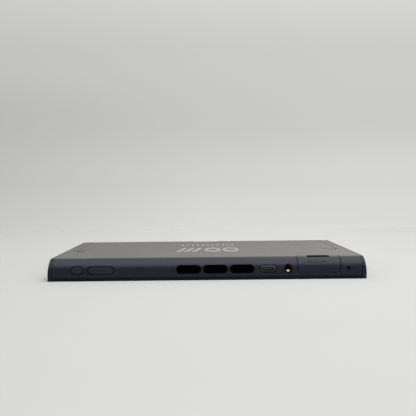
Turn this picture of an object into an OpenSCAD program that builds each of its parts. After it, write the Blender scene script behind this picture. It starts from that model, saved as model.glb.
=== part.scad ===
// Hand-held game tablet, main unit without its side controllers.
// It lies on its display glass: +Z is the back, -Y the port side with the keys and vents,
// +Y the far side with the speakers, and -X the end beside the power key.

/* [Body] */
// Width along the long side, rail face to rail face
body_w = 198; // [190:1:206]
// Depth from the port side to the far side
body_d = 116; // [113:1:122]
// Thickness from the display glass to the back
body_t = 13.9; // [13.8:0.1:15.2]
// Radius of the two long edges of the back
edge_r = 6; // [5:0.5:6.5]
// Wall of the rear cover
wall = 1.6; // [1.4:0.1:1.8]
// Rounding of the rails' outer edges towards the port side and the far side
rail_edge_r = 1.2; // [0.6:0.1:1.4]
// How far the rails draw in from their widest line up to the back
rail_draw_top = 1.8; // [1:0.1:2]
// How far the rails draw in from their widest line down to the glass
rail_draw_front = 0.4; // [0.2:0.1:0.6]
// Height of the rails' widest line above the glass
widest_z = 5; // [4:0.5:6]

/* [Display stack] */
// Height of the front frame's rim at the port side
rim_t = 1.8; // [1.4:0.1:1.8]
// Width of the rim that surrounds the glass
rim_w = 1.5; // [1.2:0.1:2]
// Thickness of the cover glass
glass_t = 0.9; // [0.7:0.1:1]
// Thickness of the touch layer bonded to the glass
touch_t = 0.3; // [0.2:0.1:0.4]
// Thickness of the liquid crystal cell
cell_t = 0.8; // [0.6:0.1:0.9]
// Thickness of the backlight
backlight_t = 0.9; // [0.8:0.1:1.2]
// Distance of the display cell from each end
cell_inset = 9; // [7:0.5:14]
// Distance of the display cell from the port side and the far side
cell_border = 6.5; // [5.5:0.5:9]
// Thickness of the metal mid frame's plate
plate_t = 0.8; // [0.6:0.1:1]

/* [Ports] */
// Height of the centre line of the keys, vents and sockets above the glass
port_z = 6.8; // [6.7:0.1:7.1]
// Distance of the vents from the end beside the power key
vents_from_left = 79.8; // [79:0.1:82]
// Distance of the vents from the end beside the microphone
vents_from_right = 70; // [69.8:0.1:72]
// Width of the web between two vents
vent_web = 1.3; // [1:0.1:2]
// Height of one vent
vent_h = 5.4; // [4:0.1:5.6]
// Number of vents
vent_count = 3; // [1:1:3]
// Distance of the upper USB-C socket from the end beside the microphone
usb_inset = 61.2; // [60.8:0.1:62]
// Distance of the headphone socket from the end beside the microphone
jack_inset = 49; // [48.6:0.1:49.4]
// Radius of the headphone socket's bore
jack_bore_r = 1.8; // [1.76:0.01:1.85]
// Length of the headphone socket
jack_l = 14; // [12:0.5:15]
// Distance of the light sensor from the nearest vent
sensor_gap = 3.7; // [3.3:0.1:6]
// Distance of the microphone slot from the end
mic_inset = 11.6; // [10.5:0.1:12]

/* [Keys] */
// Distance of the power key's centre from the end
power_inset = 18.5; // [18:0.1:18.7]
// Distance of the volume rocker's centre from the end
rocker_inset = 33.1; // [32.8:0.1:34]
// Length of the power key
power_l = 7; // [6:0.1:7.4]
// Length of the volume rocker
rocker_l = 15.7; // [14:0.1:16]
// Height of both keys
key_h = 4.1; // [3.6:0.1:4.2]
// Travel of the power key
key_travel = 0.25; // [0.15:0.05:0.25]

/* [Card door] */
// Distance of the card door's centre from the end
door_inset = 29.8; // [29.4:0.1:30.2]
// Width of the card door
door_w = 26.4; // [26.2:0.1:27.3]
// Height of the door's lower edge above the glass
door_sill = 3.3; // [3.1:0.1:3.5]
// Thickness of the card door
door_t = 1.4; // [1.2:0.1:1.4]
// Width of the finger notch
notch_w = 13.9; // [10:0.1:16]
// Width of a game card
card_w = 21.3; // [20:0.1:21.6]
// Thickness of a game card
card_t = 3.3; // [3:0.1:3.4]
// Length of a game card
card_l = 31.1; // [28:0.1:31.5]

/* [Kickstand] */
// Thickness of the kickstand
stand_t = 1.6; // [1.4:0.1:1.7]
// Width of each leg
leg_w = 6; // [5.5:0.1:6]
// Width of the foot that joins the legs
foot_w = 8.4; // [8:0.1:9]
// Distance of the legs' outer edges from the ends
leg_inset = 9.4; // [9.4:0.1:10.5]
// Distance of the hinge line from the port side
hinge_from_port = 46; // [44:0.5:50]
// Diameter of the hinge pins
hinge_pin_d = 1; // [0.8:0.1:1]

/* [Controller rails] */
// Width of the rim that each rail shows beyond the seam
rail_face_w = 3; // [2.6:0.1:3.2]
// Distance of the controller channel's ends from the port side and the far side
channel_end = 6; // [5:0.5:8]
// Height of the controller channel
channel_h = 8.6; // [8:0.1:8.8]
// Depth of the controller channel
channel_depth = 4.8; // [4.4:0.1:5]

/* [Inside] */
// Distance of the battery from each end
battery_inset = 35; // [34:1:44]
// Distance of the battery from the port side
battery_from_port = 55.9; // [55.9:0.1:60]
// Thickness of the battery
battery_t = 5.4; // [4.8:0.1:5.5]
// Thickness of the circuit boards
board_t = 1; // [0.8:0.1:1]
// Outer radius of the fan's blades
fan_r = 14.5; // [13:0.1:14.8]
// Number of fan blades
blade_count = 29; // [17:2:37]
// Number of cooling fins
fin_count = 32; // [20:1:36]
// Length of each speaker
speaker_w = 26; // [22:1:27]
// Distance of each speaker's centre from the end
speaker_inset = 24; // [23.5:0.1:26]

/* [Hidden] */
$fn = 48;
eps = 0.01;

// Clearances
part_gap = 0.2;     // shadow gap between outer parts
door_gap = 0.28;    // gap round the card door
key_gap = 0.45;     // gap round the keys
run_gap = 0.05;     // radial clearance of a pin that turns
screw_gap = 0.03;   // radial clearance of a screw in its hole
seat_gap = 0.05;    // clearance of pieces that drop into a pocket
seam_gap = 0.2;     // gap between the rear cover and the rails or the front frame

// Outer limits
hw = body_w / 2;
hd = body_d / 2;
seam_x = hw - rail_face_w;
back_in = body_t - wall;
flat_y = hd - edge_r;
cell_w = body_w - 2 * cell_inset;
cell_d = body_d - 2 * cell_border;

// Vents
stack_x0 = -hw + vents_from_left;
stack_w = body_w - vents_from_left - vents_from_right;
vent_w = (stack_w - (vent_count - 1) * vent_web) / vent_count;
vent_pitch = vent_w + vent_web;
vent_x = stack_x0 + stack_w / 2;

// Display stack, from the glass up
touch_z = glass_t;
cell_z = touch_z + touch_t;
backlight_z = cell_z + cell_t;
plate_z = backlight_z + backlight_t;
deck_z = plate_z + plate_t;
ledge_w = 4;
glass_corner_r = 2.5;
rim_chamfer = 0.4;
rim_step = 0.15;

// Rails
tub_wall = 1.2;
tub_edge = 0.8;
tub_floor_t = 1.8;
channel_z = 7;
channel_l = body_d - 2 * channel_end;
channel_floor_x = hw - channel_depth;
tub_x = channel_floor_x - tub_floor_t;
rail_screw_end = 12;
rail_screw_mid = 36;
rail_screw_out = hd - rail_screw_end;
rail_screw_in = hd - rail_screw_mid;
rail_screw_y = [-rail_screw_out, -rail_screw_in, rail_screw_in, rail_screw_out];
latch_end = 24;
latch_out = hd - latch_end;
latch_y = [-latch_out, latch_out];
latch_l = 10;
latch_h = 5;
latch_t = 0.6;
socket_from_port = 50;
socket_y = -hd + socket_from_port;
socket_w = 15;
socket_h = 5.8;
socket_l = 5.2;
socket_slot_w = 12;
socket_slot_h = 2.6;
socket_slot_l = 4.2;
contact_count = 10;
contact_pitch = 0.95;
contact_w = 0.5;
contact_l = 3.2;
contact_t = 0.12;
rail_head_r = 1.4;
rail_head_t = 0.8;
rail_shank_r = 0.7;
rail_screw_l = 4;
rail_flat_a = 24;
lug_w = 6;
lug_h = 5.6;

// Kickstand
stand_drop = 0.1;
stand_z = body_t - stand_drop - stand_t;
recess_z = stand_z - 0.1;
recess_wall = 1.2;
backing_z = recess_z - recess_wall;
leg_x1 = hw - leg_inset;
leg_x0 = leg_x1 - leg_w;
leg_x = (leg_x0 + leg_x1) / 2;
hinge_y = -hd + hinge_from_port;
knuckle_r = 0.9;
hinge_z = body_t - stand_drop - knuckle_r;
hinge_pin_r = hinge_pin_d / 2;
foot_y1 = flat_y;
foot_y0 = foot_y1 - foot_w;
stand_outer_r = 4;
stand_inner_r = 2.5;
ear_t = 1;
ear_gap = 0.2;
bracket_t = 0.5;
bracket_top = hinge_z + 0.8;
bracket_floor_z = hinge_z - knuckle_r - 0.2;
bracket_back = 4.2;
bracket_front = 3.4;
pad_l = 22;
pad_w = 4;
pad_t = 0.5;
pad_from_leg = 34.6;
pad_x = leg_x - pad_from_leg;
scoop_w = 20;
scoop_z = stand_z + 0.3;

// Screws through the rear cover, under the kickstand
cover_head_r = 1.4;
cover_head_t = 0.8;
cover_shank_r = 0.8;
cover_screw_l = 6;
cover_screw_z = recess_z - cover_head_t - 0.1;
cover_boss_r = 2.3;
boss_split_z = deck_z + 5.7;
foot_screw_from_leg = 61.6;
foot_screw_x = leg_x - foot_screw_from_leg;
leg_screw_end = 18;
leg_screw_y = [hinge_y + leg_screw_end, foot_y1 - leg_screw_end];
cover_screw_at = [
    for (sx = [-1, 1], y = leg_screw_y) [sx * leg_x, y],
    for (sx = [-1, 1]) [sx * foot_screw_x, (foot_y0 + foot_y1) / 2]
];

// Sockets
usb_x = hw - usb_inset;
jack_x = hw - jack_inset;
sensor_x = stack_x0 - sensor_gap;
usb_w = 8.94;
usb_h = 3.16;
usb_l = 7.3;
usb_sheet = 0.3;
usb_back = 0.35;
usb_lip_w = 10.7;
usb_lip_h = 4.7;
usb_lip_t = 0.5;
tongue_w = 6.7;
tongue_t = 0.7;
tongue_l = 4.6;
board_top = port_z - usb_h / 2 - 0.02;
board_z = board_top - board_t;
jack_hole_r = 2.85;
jack_body_w = 6.2;
jack_body_h = 5;
jack_ring_l = 3;
jack_ring_inset = 0.3;
jack_face = 0.35;
ring_t = 0.3;
sensor_r = 1.1;
mic_slot_w = 1;
mic_slot_h = 2.2;
port_board_w = 24;
port_board_d = 12;
mic_x = hw - mic_inset;

// Keys
power_x = -hw + power_inset;
rocker_x = -hw + rocker_inset;
flange_t = 0.6;
flange_over = 0.6;
plunger_y = -hd + wall + 1.6;
nub_r = 0.8;
plunger_l = 0.4;
plunger_r = 0.6;
switch_w = 3.4;
switch_h = 3;
switch_l = 1.4;
key_board_y = plunger_y + plunger_l + switch_l;
key_board_t = 0.6;
key_board_h = 5.6;
rocker_reach = 5;
rocker_pin_y = plunger_y + 0.5;
rocker_pin_r = 0.4;
rocker_lug_r = 0.9;
bracket_arm_t = 0.6;

// Card door and reader
door_x = hw - door_inset;
door_pin_y = -hd + 1;
door_pin_r = 0.4;
door_knuckle_r = 1;
door_pin_z = door_sill + door_knuckle_r;
door_corner_r = 1;
door_pin_over = 1.4;
notch_l = 1.9;
notch_t = 1;
notch_reach = 2.4;
reader_wall = 0.3;
reader_play = 0.3;
reader_w = card_w + 2 * (reader_play + 1.5);
reader_y0 = -hd + 3;
reader_l = card_l + 1;
reader_lift = 0.6;
reader_h = card_t + reader_play + 2 * reader_wall + reader_lift;
reader_window_w = 5;
reader_window_l = 9;
spring_count = 12;
spring_pitch = card_w / spring_count;
spring_w = 0.8;
spring_l = 6.5;
spring_t = 0.15;

// Cooling
duct_t = 1.4;
fin_y0 = -hd + wall + duct_t + 0.4;
fin_l = 8;
fin_z0 = deck_z + 0.3;
fin_h = 5.6;
fin_t = 0.3;
fin_plate_t = 0.3;
fan_x = vent_x;
fan_case_w = 38;
fan_case_y0 = fin_y0 + fin_l + 0.3;
fan_y = fan_case_y0 + fan_case_w / 2;
fan_base_t = 0.6;
fan_case_h = 5.5;
fan_wall = 0.8;
fan_cover_t = 0.5;
fan_inlet_r = 10;
rotor_z0 = deck_z + fan_base_t + 0.7;
rotor_h = 3.8;
hub_r = 6.2;
hub_wall = 0.6;
shaft_r = 0.75;
bearing_r = 2;
stator_r = 5.1;
blade_t = 0.5;
blade_sweep = 38;
pipe_w = 6;
pipe_t = 1.4;
pipe_bend_r = 9;
pipe_z = fin_z0 + fin_h;
key_board_x1 = rocker_x + rocker_l / 2 + 2;
board_x0 = key_board_x1 + 0.3;
chip_from_edge = 17;
chip_x = board_x0 + chip_from_edge;
chip_from_port = 30;
chip_y = -hd + chip_from_port;
chip_w = 14;
chip_t = 1.2;
spreader_w = 18;

// Boards and other inner pieces
speaker_d = 13;
speaker_h = 5.4;
speaker_y1 = hd - wall - 0.5;
fence_t = 0.6;
battery_y1 = speaker_y1 - speaker_d - 2 * part_gap - fence_t;
battery_y0 = -hd + battery_from_port;
battery_d = battery_y1 - battery_y0;
battery_w = body_w - 2 * battery_inset;
board_x1 = hw - 11.2;
board_y0 = -hd + 3.6;
board_y1 = battery_y0 - 2 * part_gap - fence_t;
board_notch_w = max(stack_w, fan_case_w) + 4.8;
board_notch_x0 = vent_x - board_notch_w / 2;
board_notch_x1 = vent_x + board_notch_w / 2;
board_notch_y = fan_case_y0 + fan_case_w + part_gap;
speaker_slots = 6;
speaker_slot_w = 3.2;
speaker_slot_h = 1.5;
speaker_pitch = 4.2;
mesh_t = 0.35;
intake_slots = 7;
intake_x = 34;
intake_pitch = 5;
intake_w = 3.6;
intake_h = 2.2;
memory_from_end = 57;
memory_x = -hw + memory_from_end;
memory_w = 14.5;
memory_l = 15.5;
memory_t = 1.4;
memory_mouth_w = 11.4;
memory_mouth_h = 0.9;
memory_pocket_l = 5;
memory_y = foot_y0 + 0.6;
antenna_w = 9;
antenna_l = 26;
antenna_t = 0.6;
antenna_y = hinge_y + 24;

// ---------- helpers ----------

// Extrudes a Y-Z outline along X.
module along_x(x0, x1) {
    translate([x0, 0, 0]) rotate([90, 0, 90]) linear_extrude(x1 - x0) children();
}

// Extrudes an X-Z outline along Y.
module along_y(y0, y1) {
    translate([0, y1, 0]) rotate([90, 0, 0]) linear_extrude(y1 - y0) children();
}

// Extrudes an X-Y outline along Z.
module along_z(z0, z1) {
    translate([0, 0, z0]) linear_extrude(z1 - z0) children();
}

// A box given by its lowest and highest corners.
module block(low, high) {
    translate(low) cube(high - low);
}

// A flat slot with round ends, centred.
module pill(w, h) {
    r = h / 2;
    square([w - h, h], center = true);
    for (s = [-1, 1]) translate([s * (w / 2 - r), 0]) circle(r);
}

// A rectangle with round corners, centred.
module round_rect(w, d, r) {
    square([w - 2 * r, d], center = true);
    square([w, d - 2 * r], center = true);
    for (sx = [-1, 1], sy = [-1, 1]) translate([sx * (w / 2 - r), sy * (d / 2 - r)]) circle(r);
}

// The body's cross-section, moved in by i at the sides and the back.
module profile(i) {
    r = edge_r - i;
    w = body_d - 2 * i;
    translate([-w / 2, 0]) square([w, body_t - edge_r]);
    translate([-flat_y, 0]) square([2 * flat_y, body_t - i]);
    for (s = [-1, 1]) translate([s * flat_y, body_t - edge_r]) circle(r);
}

// A screw along +Z with its head at the top, head underside at z = 0.
module screw(head_r, head_t, shank_r, l) {
    slot = head_r * 0.36;
    difference() {
        cylinder(r = head_r, h = head_t);
        for (a = [0, 90]) {
            rotate(a) translate([-head_r * 0.7, -slot / 2, head_t * 0.45]) cube([head_r * 1.4, slot, head_t]);
        }
    }
    translate([0, 0, -l]) cylinder(r = shank_r, h = l);
}

// ---------- display side ----------

module front_glass() {
    color([0.02, 0.02, 0.025])
        along_z(0, glass_t)
            round_rect(2 * (seam_x - rim_w - seat_gap), body_d - 2 * (rim_w + seat_gap), glass_corner_r);
}

module touch_layer() {
    color([0.08, 0.08, 0.1]) along_z(touch_z, cell_z) square([cell_w + 2, cell_d + 2], center = true);
}

module lcd_panel() {
    color([0.1, 0.1, 0.13]) along_z(cell_z, backlight_z) square([cell_w, cell_d], center = true);
}

module backlight() {
    color([0.85, 0.86, 0.88]) along_z(backlight_z, plate_z) square([cell_w, cell_d], center = true);
}

// Frame round the glass, with the ledge that the glass and the mid frame seat on.
module front_frame() {
    y = hd - rim_step;
    color([0.09, 0.1, 0.12]) difference() {
        union() {
            along_x(-seam_x, seam_x) polygon([
                [-y + rim_chamfer, 0], [y - rim_chamfer, 0], [y, rim_chamfer],
                [y, rim_t], [-y, rim_t], [-y, rim_chamfer]
            ]);
            along_z(rim_t - eps, plate_z)
                square([2 * (tub_x - part_gap), 2 * (hd - wall - part_gap)], center = true);
        }
        along_z(-1, glass_t) round_rect(2 * (seam_x - rim_w), body_d - 2 * rim_w, glass_corner_r);
        along_z(0, plate_z + 1) square([cell_w + 2 + 2 * part_gap, cell_d + 2 + 2 * part_gap], center = true);
    }
}

// Metal plate that carries the board, battery, speakers and rails.
module mid_frame() {
    color([0.62, 0.64, 0.67]) difference() {
        union() {
            along_z(plate_z, deck_z)
                round_rect(2 * (tub_x - part_gap), 2 * (hd - wall - part_gap), 2);
            for (p = cover_screw_at) translate([p[0], p[1], plate_z + eps])
                cylinder(r = cover_boss_r, h = boss_split_z - plate_z - eps);
            for (sx = [-1, 1], y = rail_screw_y) rail_lug(sx, y);
            board_bosses();
            battery_fence();
        }
        for (p = cover_screw_at) translate([p[0], p[1], cover_screw_z - cover_screw_l - 0.5])
            cylinder(r = cover_shank_r + screw_gap, h = cover_screw_l + 1);
        for (sx = [-1, 1], y = rail_screw_y) translate([sx * (tub_x - 3), y, channel_z])
            rotate([0, sx * 90, 0]) cylinder(r = rail_shank_r + screw_gap, h = 6);
        for (sx = [-1, 1]) translate([sx * 30, hinge_y - 8, plate_z - 1]) lightening_hole();
    }
}

// One upright lug that takes a rail screw.
module rail_lug(sx, y) {
    x1 = sx * (tub_x - seat_gap);
    x0 = sx * (tub_x - 2.6);
    block([min(x0, x1), y - lug_w / 2, plate_z + eps],
        [max(x0, x1), y + lug_w / 2, channel_z + lug_h / 2]);
}

module lightening_hole() {
    linear_extrude(4) round_rect(8, 12, 2);
}

// Low bosses that the main board sits on.
module board_bosses() {
    for (p = [[board_x0 + 3, board_y1 - 3], [board_x0 + 3, board_y0 + 6], [-1, board_y1 - 3],
              [board_x1 - 3, board_y1 - 3], [usb_x + 6, board_y1 - 14], [board_x1 - 3, reader_y0 + 4]])
        translate([p[0], p[1], plate_z + eps]) cylinder(r = 2, h = board_z - plate_z - eps);
}

// Low rib round the battery bay.
module battery_fence() {
    w = battery_w + 2 * part_gap;
    d = battery_d + 2 * part_gap;
    translate([0, (battery_y0 + battery_y1) / 2, 0]) along_z(deck_z - eps, deck_z + 0.6) difference() {
        square([w + 2 * fence_t, d + 2 * fence_t], center = true);
        square([w, d], center = true);
    }
}

// ---------- rear cover ----------

// Outline of the kickstand seen from the back, grown by g.
module stand_outline(g, y_start) {
    ox = leg_x1 + g;
    ix = leg_x0 - g;
    oy = foot_y1 + g;
    iy = foot_y0 - g;
    ro = stand_outer_r + g;
    ri = stand_inner_r - g / 2;
    difference() {
        union() {
            translate([-ox, y_start]) square([2 * ox, oy - ro - y_start]);
            translate([-ox + ro, y_start]) square([2 * (ox - ro), oy - y_start]);
            for (s = [-1, 1]) translate([s * (ox - ro), oy - ro]) circle(ro);
        }
        translate([-ix, y_start - 1]) square([2 * ix, iy - ri - y_start + 1]);
        translate([-ix + ri, y_start - 1]) square([2 * (ix - ri), iy - y_start + 1]);
        for (s = [-1, 1]) translate([s * (ix - ri), iy - ri]) circle(ri);
    }
}

// Box that a hinge bracket drops into, grown by g and going down to z0.
module hinge_box(sx, g, z0, z1) {
    translate([sx * leg_x, 0, 0])
        block([-leg_w / 2 - ear_gap - ear_t - g, hinge_y - bracket_back - g, z0],
            [leg_w / 2 + ear_gap + ear_t + g, hinge_y + bracket_front + g, z1]);
}

module shell() {
    along_x(-seam_x + seam_gap, seam_x - seam_gap) difference() {
        intersection() {
            profile(0);
            translate([-hd - 1, rim_t + seam_gap]) square([body_d + 2, body_t]);
        }
        profile(wall);
    }
}

// Thicker stretches inside the shell, under the kickstand's recess.
module shell_backing() {
    along_z(backing_z, back_in + eps) stand_outline(recess_wall, hinge_y);
    for (sx = [-1, 1]) hinge_box(sx, 0.9, bracket_floor_z - bracket_t - 1, back_in + eps);
    for (p = cover_screw_at) translate([p[0], p[1], boss_split_z])
        cylinder(r = cover_boss_r, h = back_in - boss_split_z + eps);
    memory_tub();
}

// Pocket walls that give a fingertip room at the memory card slot.
module memory_tub() {
    block([memory_x - memory_w / 2 - 1, memory_y - 0.8, backing_z - memory_t - 0.9],
        [memory_x + memory_w / 2 + 1, memory_y + memory_pocket_l + 1, backing_z + eps]);
}

module rear_cover_cuts() {
    along_z(recess_z, body_t + 1) stand_outline(part_gap, hinge_y);
    for (sx = [-1, 1]) hinge_box(sx, seat_gap, bracket_floor_z - bracket_t, body_t + 1);
    for (p = cover_screw_at) translate([p[0], p[1], 0]) {
        translate([0, 0, cover_screw_z]) cylinder(r = cover_head_r + 0.1, h = body_t);
        cylinder(r = cover_shank_r + 0.1, h = body_t);
    }
    for (i = [0:vent_count - 1]) translate([vent_x + (i - (vent_count - 1) / 2) * vent_pitch, 0, port_z])
        along_y(-hd - 1, -hd + wall + 1) pill(vent_w, vent_h);
    usb_cut(usb_x, -1);
    usb_cut(0, 1);
    translate([jack_x, -hd - 1, port_z]) rotate([-90, 0, 0]) cylinder(r = jack_hole_r, h = wall + 2);
    translate([sensor_x, -hd - 1, port_z]) rotate([-90, 0, 0]) cylinder(r = sensor_r, h = wall + 2);
    translate([mic_x, 0, port_z]) along_y(-hd - 1, -hd + wall + 1) rotate(90) pill(mic_slot_h, mic_slot_w);
    translate([power_x, 0, port_z]) along_y(-hd - 1, -hd + wall + 1)
        pill(power_l + 2 * key_gap, key_h + 2 * key_gap);
    translate([rocker_x, 0, port_z]) along_y(-hd - 1, -hd + wall + 1)
        pill(rocker_l + 2 * key_gap, key_h + 2 * key_gap);
    door_opening();
    far_side_slots();
    memory_cuts();
    translate([0, 0, scoop_z]) block([-scoop_w / 2, foot_y1, 0], [scoop_w / 2, hd, body_t]);
}

// Lip and hole for a USB-C socket on the port side (s = -1) or the far side (s = 1).
module usb_cut(x, s) {
    y_out = s * (hd + 1);
    y_lip = s * (hd - usb_lip_t);
    y_in = s * (hd - wall - 1);
    translate([x, 0, port_z]) {
        along_y(min(y_out, y_lip), max(y_out, y_lip)) pill(usb_lip_w, usb_lip_h);
        along_y(min(y_out, y_in), max(y_out, y_in)) pill(usb_w + 0.2, usb_h + 0.2);
    }
}

// Opening that the card door closes, with the pin's holes and the finger notch.
module door_opening() {
    w = door_w + 2 * door_gap;
    translate([door_x, 0, 0]) {
        along_y(-hd - 1, -flat_y + eps) translate([-w / 2, door_sill - door_gap]) square([w, body_t]);
        translate([-door_w / 2 - door_pin_over - 0.1, door_pin_y, door_pin_z])
            rotate([0, 90, 0]) cylinder(r = door_pin_r + run_gap, h = door_w + 2 * door_pin_over + 0.2);
        finger_notch();
    }
}

// Fingernail recess that reaches from the door's top edge into the back.
module finger_notch() {
    translate([0, 0, body_t - notch_t]) along_z(0, 2) {
        translate([-notch_w / 2 + notch_l, -flat_y - 1]) square([notch_w - 2 * notch_l, notch_l + 1]);
        translate([-notch_w / 2, -flat_y - notch_reach]) square([notch_w, notch_reach + eps]);
        for (s = [-1, 1]) translate([s * (notch_w / 2 - notch_l), -flat_y]) circle(notch_l);
    }
}

// The door's outline seen from the port side: square at the back, round at the sill.
module door_face() {
    w = door_w;
    r = door_corner_r;
    translate([-w / 2, door_sill + r]) square([w, body_t]);
    translate([-w / 2 + r, door_sill]) square([w - 2 * r, body_t]);
    for (s = [-1, 1]) translate([s * (w / 2 - r), door_sill + r]) circle(r);
}

// Speaker and air intake slots through the far wall.
module far_side_slots() {
    for (sx = [-1, 1]) {
        for (i = [0:speaker_slots - 1])
            translate([sx * (hw - speaker_inset) + (i - (speaker_slots - 1) / 2) * speaker_pitch, 0, port_z])
                along_y(hd - wall - 1, hd + 1) pill(speaker_slot_w, speaker_slot_h);
        for (i = [0:intake_slots - 1])
            translate([sx * intake_x + (i - (intake_slots - 1) / 2) * intake_pitch, 0, port_z])
                along_y(hd - wall - 1, hd + 1) pill(intake_w, intake_h);
    }
}

// Finger pocket in the kickstand's recess, and the mouth that a memory card goes through.
module memory_cuts() {
    block([memory_x - memory_w / 2, memory_y, backing_z - memory_t],
        [memory_x + memory_w / 2, memory_y + memory_pocket_l, body_t]);
    block([memory_x - memory_mouth_w / 2, memory_y - 1, backing_z - memory_t / 2 - memory_mouth_h / 2],
        [memory_x + memory_mouth_w / 2, memory_y + 1, backing_z - memory_t / 2 + memory_mouth_h / 2]);
}

module rear_cover() {
    color([0.17, 0.18, 0.22]) difference() {
        union() {
            shell();
            shell_backing();
        }
        rear_cover_cuts();
    }
}

// ---------- rails ----------

// One end rail for the +X end: a crowned face and a tub that plugs into the shell.
module rail() {
    difference() {
        union() {
            hull() {
                for (a = [rail_flat_a:12:84]) {
                    x = a == rail_flat_a ? hw : hw - rail_draw_top * (1 - cos(a));
                    along_x(x - 0.02, x) rail_slice(hw - x, widest_z + (body_t - widest_z) * sin(a));
                }
                along_x(seam_x, hw - rail_draw_top) rail_slice(rail_draw_top, body_t);
            }
            translate([0, 0, channel_z]) along_x(tub_x, seam_x + eps)
                round_rect(channel_l + 2 * tub_wall, channel_h + 2 * tub_edge, 3);
        }
        translate([0, 0, channel_z]) along_x(channel_floor_x, hw + 1) pill(channel_l, channel_h);
        for (y = rail_screw_y) translate([tub_x - 1, y, channel_z]) rotate([0, 90, 0]) {
            cylinder(r = rail_shank_r + 0.1, h = 6);
            translate([0, 0, channel_floor_x - tub_x + 1 - rail_head_t - 0.1]) cylinder(r = rail_head_r + 0.1, h = 4);
        }
        for (y = latch_y) translate([0, y, channel_z])
            along_x(channel_floor_x - latch_t, channel_floor_x + 1)
                round_rect(latch_l + 2 * seat_gap, latch_h + 2 * seat_gap, 1);
        translate([0, socket_y, channel_z]) along_x(tub_x - 1, hw)
            round_rect(socket_w + 2 * seat_gap, socket_h + 2 * seat_gap, 1);
    }
}

// How far an elliptic edge that draws in by d over a length l has come in, s behind its face.
function edge_in(s, d, l) = s >= d ? 0 : l * (1 - sqrt(1 - pow(1 - s / d, 2)));

// The rail's outline s behind its widest line, with its top at z1.
module rail_slice(s, z1) {
    i = edge_in(s, rail_edge_r, rail_edge_r);
    z0 = edge_in(s, rail_draw_front, widest_z * 0.6);
    r = edge_r - i;
    intersection() {
        union() {
            translate([-hd + i, z0]) square([body_d - 2 * i, z1 - r - z0]);
            translate([-flat_y, z0]) square([2 * flat_y, z1 - z0]);
            for (side = [-1, 1]) translate([side * flat_y, z1 - r]) circle(r);
        }
        translate([-hd, z0]) square([body_d, body_t]);
    }
}

module socket() {
    translate([0, socket_y, channel_z]) difference() {
        along_x(channel_floor_x - socket_l, channel_floor_x) round_rect(socket_w, socket_h, 1);
        along_x(channel_floor_x - socket_slot_l, channel_floor_x + 1) pill(socket_slot_w, socket_slot_h);
    }
}

module left_rail() {
    color([0.15, 0.16, 0.19]) mirror([1, 0, 0]) rail();
}

module right_rail() {
    color([0.15, 0.16, 0.19]) rail();
}

module left_socket() {
    color([0.07, 0.07, 0.08]) mirror([1, 0, 0]) socket();
}

module right_socket() {
    color([0.07, 0.07, 0.08]) socket();
}

// Gold strips on the lower wall of each socket's slot.
module socket_contacts() {
    z0 = channel_z - socket_slot_h / 2;
    x = channel_floor_x - socket_slot_l / 2;
    color([0.83, 0.66, 0.25]) for (sx = [-1, 1], i = [0:contact_count - 1])
        translate([sx * x, socket_y + (i - (contact_count - 1) / 2) * contact_pitch, z0])
            block([-contact_l / 2, -contact_w / 2, 0], [contact_l / 2, contact_w / 2, contact_t]);
}

module latch_plates() {
    color([0.7, 0.71, 0.73]) for (sx = [-1, 1], y = latch_y)
        translate([sx * (channel_floor_x - latch_t / 2), y, channel_z])
            along_x(-latch_t / 2, latch_t / 2) round_rect(latch_l, latch_h, 1);
}

module rail_screws() {
    color([0.35, 0.36, 0.38]) for (sx = [-1, 1], y = rail_screw_y)
        translate([sx * (channel_floor_x - rail_head_t - 0.1), y, channel_z]) rotate([0, sx * 90, 0])
            screw(rail_head_r, rail_head_t, rail_shank_r, rail_screw_l);
}

module cover_screws() {
    color([0.35, 0.36, 0.38]) for (p = cover_screw_at) translate([p[0], p[1], cover_screw_z])
        screw(cover_head_r, cover_head_t, cover_shank_r, cover_screw_l);
}

// ---------- kickstand ----------

module kickstand() {
    color([0.2, 0.21, 0.24]) difference() {
        union() {
            along_z(stand_z, stand_z + stand_t) stand_outline(0, hinge_y);
            for (sx = [-1, 1]) translate([sx * leg_x - leg_w / 2, hinge_y, hinge_z])
                rotate([0, 90, 0]) cylinder(r = knuckle_r, h = leg_w);
        }
        for (sx = [-1, 1]) translate([sx * leg_x - leg_w, hinge_y, hinge_z])
            rotate([0, 90, 0]) cylinder(r = hinge_pin_r + 0.01, h = 2 * leg_w);
        for (sx = [-1, 1]) pad_seat(sx, 0.05);
    }
}

// Seat of a rubber pad on the foot's inner face.
module pad_seat(sx, g) {
    translate([sx * pad_x, (foot_y0 + foot_y1) / 2, stand_z]) along_z(-1, pad_t) pill(pad_l + 2 * g, pad_w + 2 * g);
}

module kickstand_pads() {
    color([0.05, 0.05, 0.05]) for (sx = [-1, 1])
        translate([sx * pad_x, (foot_y0 + foot_y1) / 2, stand_z]) along_z(0, pad_t) pill(pad_l, pad_w);
}

module hinge_pins() {
    l = leg_w + 2 * (ear_gap + ear_t);
    color([0.72, 0.73, 0.75]) for (sx = [-1, 1]) translate([sx * leg_x - l / 2, hinge_y, hinge_z])
        rotate([0, 90, 0]) cylinder(r = hinge_pin_r, h = l);
}

// Steel clip with two ears that carries one hinge pin.
module hinge_bracket(sx) {
    color([0.6, 0.61, 0.64]) difference() {
        hinge_box(sx, 0, bracket_floor_z - bracket_t, bracket_top);
        translate([sx * leg_x, 0, 0])
            block([-leg_w / 2 - ear_gap, -hd, bracket_floor_z], [leg_w / 2 + ear_gap, hd, body_t]);
        for (s = [-1, 1]) translate([sx * leg_x, 0, 0])
            block([-leg_w, hinge_y + s * 2 - (s < 0 ? 10 : 0), hinge_z - 0.4],
                [leg_w, hinge_y + s * 2 + (s < 0 ? 0 : 10), body_t]);
        translate([sx * leg_x - leg_w, hinge_y, hinge_z])
            rotate([0, 90, 0]) cylinder(r = hinge_pin_r + run_gap, h = 2 * leg_w);
    }
}

module left_hinge_bracket() {
    hinge_bracket(-1);
}

module right_hinge_bracket() {
    hinge_bracket(1);
}

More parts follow.
